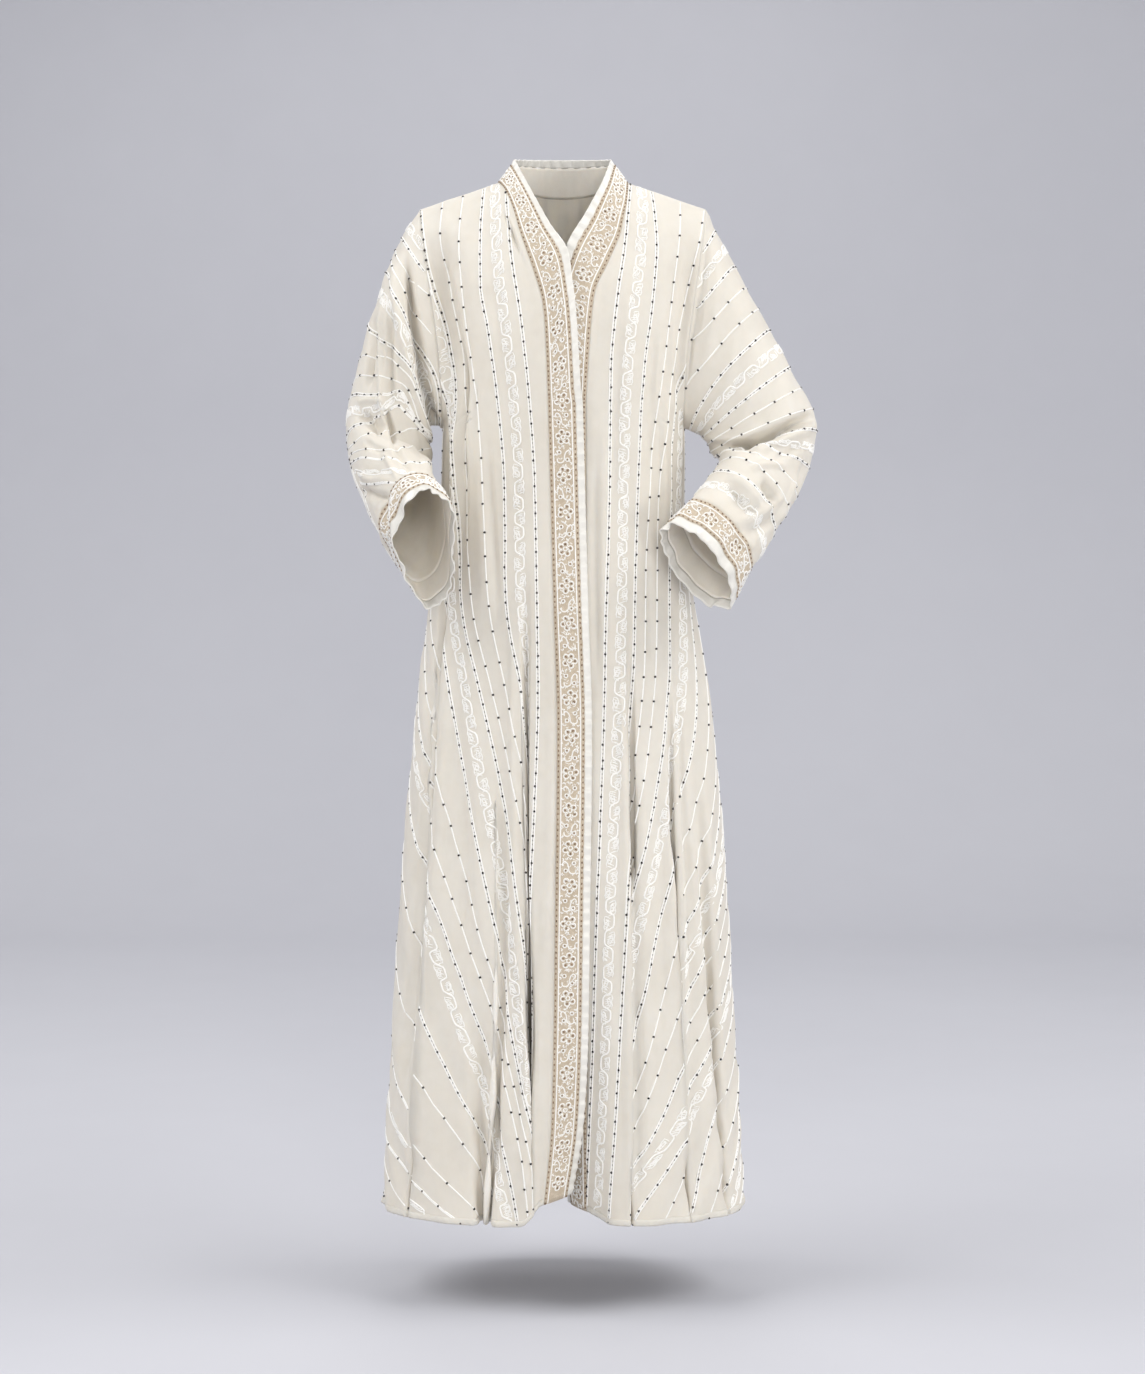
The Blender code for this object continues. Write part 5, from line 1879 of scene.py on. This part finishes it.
def tape_ends(name):
    """The lowest and the highest reading of the tape across a cloth."""
    tape = cloths[name].across
    return float(tape.min()), float(tape.max())


for name in ("front_right", "front_left"):
    made = embroider(name, cloths[name], UNDER_BAND, tape_ends(name)[1] * SIDE_SEAM_SHARE,
                     0.0, HEM, LACE_AT)
    print(name, "stripes:", made)
print("back stripes:", embroider("back", cloths["back"], *tape_ends("back"), 0.0, HEM, 0.0))
for side in ("right", "left"):
    cloth = cut_sleeve(side, None, CUFF)
    made = embroider("sleeve_" + side, cloth, float(cloth.across.min()),
                     float(cloth.across.max()), 0.0, AROUND, *SLEEVE_PATTERN[side])
    print(side, "sleeve stripes:", made)

# %% Stripe meshes
thin_cord.piece("plain_cords", thread_paint, "cloth")
twin_cord.piece("sequin_cords", thread_paint, "cloth")
lace_cord.piece("lace_cords", thread_paint, "cloth")
lace_leaf.piece("lace_leaves", thread_paint, "cloth")
dashes.piece("cord_dashes", sequin_paint, "cloth")
sequins.piece("sequins", sequin_paint, "cloth")

# %% [markdown]
# ## The embroidered band
#
# The band is net, closely worked: a column of bronze beads and a pale cord along each side, a five
# petalled flower every five centimetres, and a scrolled vine with small rings between the flowers.
# One flower and one scroll are drawn as lines on the flat band and repeated down its length.

# %% Flower
FLOWER_SIZE = 0.0078
PETALS = 5
PETAL_TIP = 2.55  # a petal's loop runs to this angle on both sides, open at its foot
PETAL_HALF = (0.0032, 0.0034)  # along and across the petal
HEART = 0.0026  # the ring in the middle
band_thread, band_beads, pale_cord, bead_rows = Stitches(), Stitches(), Stitches(), Stitches()


def ring_line(across, along, radius, points):
    """A closed ring on the flat band."""
    turn = np.linspace(0.0, 2 * math.pi, points)
    return across + radius * np.sin(turn), along + radius * np.cos(turn)


def flower(across, along, start):
    """Petal loops, a centre ring and the ovals in the petals, as lines and spots."""
    lines, ovals, turns = [], [], []
    loop = np.linspace(-PETAL_TIP, PETAL_TIP, 9)
    for k in range(PETALS):
        a = start + 2 * math.pi * k / PETALS + random.uniform(-0.14, 0.14)
        reach = FLOWER_SIZE * random.uniform(0.76, 0.98)
        petal_u = reach - 0.0002 + PETAL_HALF[0] * np.cos(loop)
        petal_v = PETAL_HALF[1] * np.sin(loop)
        lines.append((across + petal_u * math.sin(a) + petal_v * math.cos(a),
                      along + petal_u * math.cos(a) - petal_v * math.sin(a)))
        ovals.append((across + reach * math.sin(a), along + reach * math.cos(a)))
        turns.append(a)
    lines.append(ring_line(across, along, HEART, 9))
    return lines, ovals, turns


print("a flower is", round((FLOWER_SIZE + PETAL_HALF[0]) * 2000), "mm across")

# %% Band pattern
FLOWER_PITCH = 0.048
BAND_MIDDLE = 0.0180
SIDE_CORDS, BEAD_COLUMNS = (0.0056, 0.0302), (0.0020, 0.0338)  # from the band's seam
# The next four are in mm, across and along, from the middle between two flowers.
VINE = ((-8.0, -3.0), (-7.5, -7.5), (-3.5, -9.0), (0.5, -6.5), (1.5, -1.0), (3.0, 4.0),
        (6.5, 7.0), (9.0, 4.5), (8.0, 1.0))
RINGS = ((-5.2, 4.6), (5.0, -4.8))
CURLS = ((-9.5, 9.5), (9.5, 9.5), (-9.5, -9.5), (9.5, -9.5), (0.0, 11.5), (-10.5, 2.0),
         (10.5, -2.0), (3.5, -11.0), (-3.5, 11.0))
FILLING = 10.5  # fine curls lie this far to each side
FINE_CURLS = 34  # for each flower
RING_RADIUS, CURL_RADIUS, FINE_RADIUS = 0.0024, 0.0015, 0.0016
BAND_CORD, BAND_FINE, PALE_CORD = (0.0019, 0.0013), (0.0012, 0.0009), (0.0018, 0.0011)
OVAL_BEAD, SPECK_BEAD, ROW_BEAD = (0.00125, 0.0010), (0.0011, 0.0010), (0.00105, 0.0012)
PALE_STEP, BEAD_PITCH = 0.005, 0.0068


def curl_line(across, along, radius, turn, points):
    """An open curl that starts at a random angle."""
    angle = np.linspace(0.0, turn, points) + random.uniform(0, 6)
    return across + radius * np.sin(angle), along + radius * np.cos(angle)


def work_band(cloth, length):
    """Everything that is sewn on a band of some length. Returns how many flowers it has."""
    flowers = max(round(length / FLOWER_PITCH), 1)
    pitch = length / flowers
    vine = smooth_line(np.array(VINE) / 1000.0, 3)
    lines, fine_lines, ovals, turns, specks = [], [], [], [], []
    for k in range(flowers):
        at = (k + 0.5) * pitch
        petals, spots, angles = flower(BAND_MIDDLE + random.uniform(-0.0008, 0.0008), at,
                                       random.uniform(0, 6))
        lines += petals
        ovals += spots
        turns += angles
        flip = 1.0 if k % 2 else -1.0
        between = at + pitch / 2
        lines.append((BAND_MIDDLE + flip * vine[:, 0], between + vine[:, 1]))
        for u, v in RINGS:
            centre = (BAND_MIDDLE + flip * u / 1000, between + v / 1000)
            lines.append(ring_line(*centre, RING_RADIUS, 8))
            specks.append(centre)
        for u, v in CURLS:
            u, v = u + random.uniform(-1, 1), v + random.uniform(-1, 1)
            lines.append(curl_line(BAND_MIDDLE + u / 1000, between + v / 1000, CURL_RADIUS, 3.6, 5))
        for _ in range(FINE_CURLS):
            u, v = random.uniform(-FILLING, FILLING) / 1000, random.uniform(-0.5, 0.5) * pitch
            fine_lines.append(curl_line(BAND_MIDDLE + u, between + v, FINE_RADIUS, 2.6, 4))
    band_thread.sew(cloth, lines, *BAND_CORD, RIDGE)
    band_thread.sew(cloth, fine_lines, *BAND_FINE, RIDGE)
    band_beads.dots(cloth, ovals, *OVAL_BEAD, oval=1.5, turn=turns)
    band_beads.dots(cloth, specks, *SPECK_BEAD)
    along = np.arange(0.0, length, PALE_STEP)
    pale_cord.sew(cloth, [(np.full(len(along), at), along) for at in SIDE_CORDS], *PALE_CORD)
    for at in BEAD_COLUMNS:
        stops = np.arange(0.002, length, BEAD_PITCH)
        stops = stops + random.uniform(-0.0006, 0.0006, len(stops))
        bead_rows.dots(cloth, [(at, stop) for stop in stops], *ROW_BEAD, oval=1.6)
    return flowers


print("fine curls in each gap:", FINE_CURLS, "and", len(CURLS), "larger ones")

# %% [markdown]
# ## Work the bands
#
# The same pattern goes on the long band and on both cuffs. A cuff is worked as a band that
# overlaps itself by a sixth of a turn, so the pattern closes without a gap where its ends meet.

# %% Work the bands
BAND_MM = 36.0  # the worked part of the trim, from its seam
CUFF_ROWS = 10
CUFF_STAND = 0.0006  # the cuff's ribbon lies on the sleeve
print("flowers on the band:", work_band(ribbon(0.0, BAND_MM, 13), ribbon_tape[-1]))


def cuff_cloth(side):
    """The cuff band as a cloth that overlaps itself, and its length once round."""
    cloth = cut_sleeve(side, CUFF, CUFF_EDGE, CUFF_ROWS, CUFF_STAND)
    across = np.tile(np.linspace(0.0, CUFF_BAND, cloth.places.shape[1]), (len(cloth.places), 1))
    on = np.concatenate((np.arange(len(across)), np.arange(1, len(across) // 6)))
    around = travelled(cloth.places[on].mean(axis=1))
    return (Cloth(cloth.places[on], across[on], around, cloth.outward[on]),
            float(around[len(across) - 1]))


for side in ("right", "left"):
    print(side, "cuff flowers:", work_band(*cuff_cloth(side)))
band_thread.piece("band_threads", thread_paint, "embroidered_trim")
band_beads.piece("band_beads", bead_paint, "embroidered_trim")
pale_cord.piece("band_cords", thread_paint, "embroidered_trim")
bead_rows.piece("bead_rows", bead_paint, "embroidered_trim")

# %% [markdown]
# ## Satin, cuffs and hems
#
# The satin along the front edges is a folded strip whose seam draws it into small puckers: each
# rises slowly and drops fast, and they grow and fade along the edge. The satin of a cuff waves
# like a ruffle, with many small lobes. The hem is turned up once, and its stitches pull the roll
# in at even steps. All three are cut from cloth that is already there, so they follow its folds.

# %% Patch


def patch(cloth, across, along):
    """A finer grid on a cloth, between readings of its two tapes."""
    u, v = np.meshgrid(across, along)
    places, normals, _ = cloth.lay(u.ravel(), v.ravel())
    shape = (len(along), len(across), 3)
    return Cloth(places.reshape(shape), u, along, normals.reshape(shape))


print("patch ready")

# %% Puckered satin
SATIN = (35.4, 45.0)  # mm from the seam; it starts just under the band's edge
SATIN_COLUMNS = 7
PUCKER_PITCH = 0.0155
PUCKER_RISE = 0.0030
RISING, FALLING = 0.8, 0.2  # shares of a pucker


def puckered_satin():
    """The satin edge: folded over a seam that draws it into small even puckers."""
    base = ribbon(*SATIN, SATIN_COLUMNS)
    along = np.arange(0.0, ribbon_tape[-1], 0.0025)
    made = patch(base, np.linspace(SATIN[0] / 1000, SATIN[1] / 1000, SATIN_COLUMNS), along)
    turns = along / PUCKER_PITCH + 0.35 * np.sin(along * 31.0)
    step = turns - np.floor(turns)
    wave = np.where(step < RISING, step / RISING, (1.0 - step) / FALLING) - 0.5
    strong = 0.45 + 0.55 * np.abs(np.sin(along * 7.0 + 1.0))
    share = np.sin(np.linspace(0.10, 1.0, SATIN_COLUMNS) * math.pi * 0.62)
    made.move((wave * strong)[:, None] * share[None] * PUCKER_RISE)
    return made


print("puckers along the edge:", round(ribbon_tape[-1] / PUCKER_PITCH))

# %% Ruffled cuff
RUFFLE_RISE = 0.0016
RUFFLE_STAND = 0.0004


def ruffled_cuff(side):
    """The satin edge of a cuff, waved by the seam that gathers it."""
    made = cut_sleeve(side, CUFF_EDGE, 0.0, 6, RUFFLE_STAND)
    angle = made.along / AROUND * 2 * math.pi
    wave = np.sin(17 * angle + 1.5 * np.sin(3 * angle)) + 0.6 * np.sin(9 * angle + 1.0)
    wave *= smooth_step(np.minimum(angle, 2 * math.pi - angle) / 0.3)
    share = smooth_step(np.linspace(0.0, 1.0, made.places.shape[1]))
    made.move(wave[:, None] * share * RUFFLE_RISE)
    return made


print("ruffle of the cuffs:", RUFFLE_RISE * 1000, "mm to each side")

# %% Rolled hem
HEM_DEPTH = 0.0085
HEM_STAND, HEM_ROLL, HEM_PULL = 0.0006, 0.0009, 0.0004
HEM_STITCH = 0.010  # one pull of the hem's stitches


def rolled_hem(name):
    """The turned up hem: a narrow strip on the cloth's end, drawn in by its stitches."""
    cloth = cloths[name]
    across = np.arange(cloth.across[-1, 0] + 0.001, cloth.across[-1, -1] - 0.001, 0.0026)
    made = patch(cloth, across, np.linspace(HEM - HEM_DEPTH, HEM, 5))
    roll = np.sin(np.linspace(0.0, math.pi, 5))
    wave = np.sin(2 * math.pi * across / HEM_STITCH + 1.5 * np.sin(across * 23.0))
    made.move(HEM_STAND + HEM_ROLL * roll[:, None] + HEM_PULL * roll[:, None] * wave[None])
    return made


print("the hem is turned up", HEM_DEPTH * 1000, "mm")

# %% [markdown]
# ## Make the shells
#
# Every cloth gets its thickness here. The robe's own panels show their wrong side inside, where
# the front hangs open, so they carry a second material on their inner face. The band and the satin
# are a little thicker than the crepe, and the hem's strip is thin because it lies on it.

# %% Shells
PANELS = ("front_right", "front_left", "back")
SIDES = ("right", "left")
TRIM_THICK, CUFF_THICK, RUFFLE_THICK, HEM_THICK = 0.0016, 0.0018, 0.0014, 0.0008
pieces = {}
for name in PANELS:
    pieces[name] = shell("cloth_" + name, cloths[name], cloth_paint, facing=lightened_facing_paint)
for side in SIDES:
    sleeve = cut_sleeve(side, None, CUFF - 0.002)
    pieces["sleeve_" + side] = shell("cloth_sleeve_" + side, sleeve, cloth_paint, closed=True,
                                     facing=lightened_facing_paint)
    cuff = cut_sleeve(side, CUFF, CUFF_EDGE, CUFF_ROWS, CUFF_STAND)
    pieces["cuff_band_" + side] = shell("cuff_ribbon_" + side, cuff, trim_paint, CUFF_THICK,
                                        closed=True, facing=lightened_facing_paint)
    pieces["cuff_satin_" + side] = shell("cuff_ruffle_" + side, ruffled_cuff(side), satin_paint,
                                         RUFFLE_THICK, closed=True)
pieces["trim_band"] = shell("trim_ribbon", ribbon(0.0, BAND_MM, 11), trim_paint, TRIM_THICK,
                            facing=lightened_facing_paint)
pieces["satin_edge"] = shell("satin_ribbon", puckered_satin(), satin_paint, TRIM_THICK)
for name in PANELS:
    pieces["hem_" + name] = shell("hem_" + name, rolled_hem(name), cloth_paint, HEM_THICK)
for name, piece in pieces.items():
    print(name, len(piece.data.polygons), "faces")

# %% [markdown]
# ## What the pieces stand for
#
# The solids are one body, so everything rides with its root. Each shell stands in for the solid of
# the same part, and the trim's long ribbon and satin for three each, because the solids are cut at
# the neck points. The slot says which material of the record a piece belongs to.

# %% Ride, replace and slot
TRIM_PARTS = ("right", "neck", "left")
for name, piece in pieces.items():
    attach(piece, "root")
for name in PANELS:
    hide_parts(name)
for side in SIDES:
    for part in ("sleeve_", "cuff_band_", "cuff_satin_"):
        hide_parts(part + side)
for part in ("trim_band", "satin_edge"):
    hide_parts(*(part + "_" + where for where in TRIM_PARTS))
for name, piece in pieces.items():
    slot = "satin" if "satin" in name else "embroidered_trim" if "band" in name else "cloth"
    print(name, "is", slot)

# %% [markdown]
# ## The sheets
#
# Whoever drapes the robe again needs the size of each sheet when it lies flat, and how much of it
# the folds take up. A panel is as wide as its tape at the hem, a sleeve as its tape round the arm.
# Only the satin along the edges is gathered, and the rest hangs.

# %% Sheets
TURN_UP = 0.01  # the part of a panel that is folded under at the hem
SATIN_WIDTH = 0.010
HEM_STRIP = 0.010
FULLNESS = 1.001  # a sheet is never smaller than its own area


def area_of(piece):
    """Area of one side of a shell, in square metres."""
    return sum(face.area for face in piece.data.polygons) / 2


for name, piece in pieces.items():
    area = area_of(piece)
    held = "draped"
    if name in PANELS:
        flat = (float(np.ptp(cloths[name].across[-1])), HEM + TURN_UP)
    elif name.startswith("sleeve"):
        flat = (AROUND, area / AROUND * 1.02)
    elif name.startswith("hem"):
        flat = (float(np.ptp(cloths[name[4:]].across[-1])), HEM_STRIP)
        area = flat[0] * flat[1]
    elif name.startswith("cuff"):
        width = CUFF_BAND if "band" in name else CUFF_EDGE
        flat = (area / width * FULLNESS, width)
    elif name == "trim_band":
        flat = (BAND_WIDTH, float(ribbon_tape[-1]))
        area = flat[0] * flat[1]
    else:
        flat, held = (SATIN_WIDTH, area / SATIN_WIDTH * FULLNESS), "gathered"
    share = min(area / (flat[0] * flat[1]), 1.0)
    print(name, "area", round(area, 4), "flat", np.round(flat, 3).tolist(),
          "share", round(share, 3))
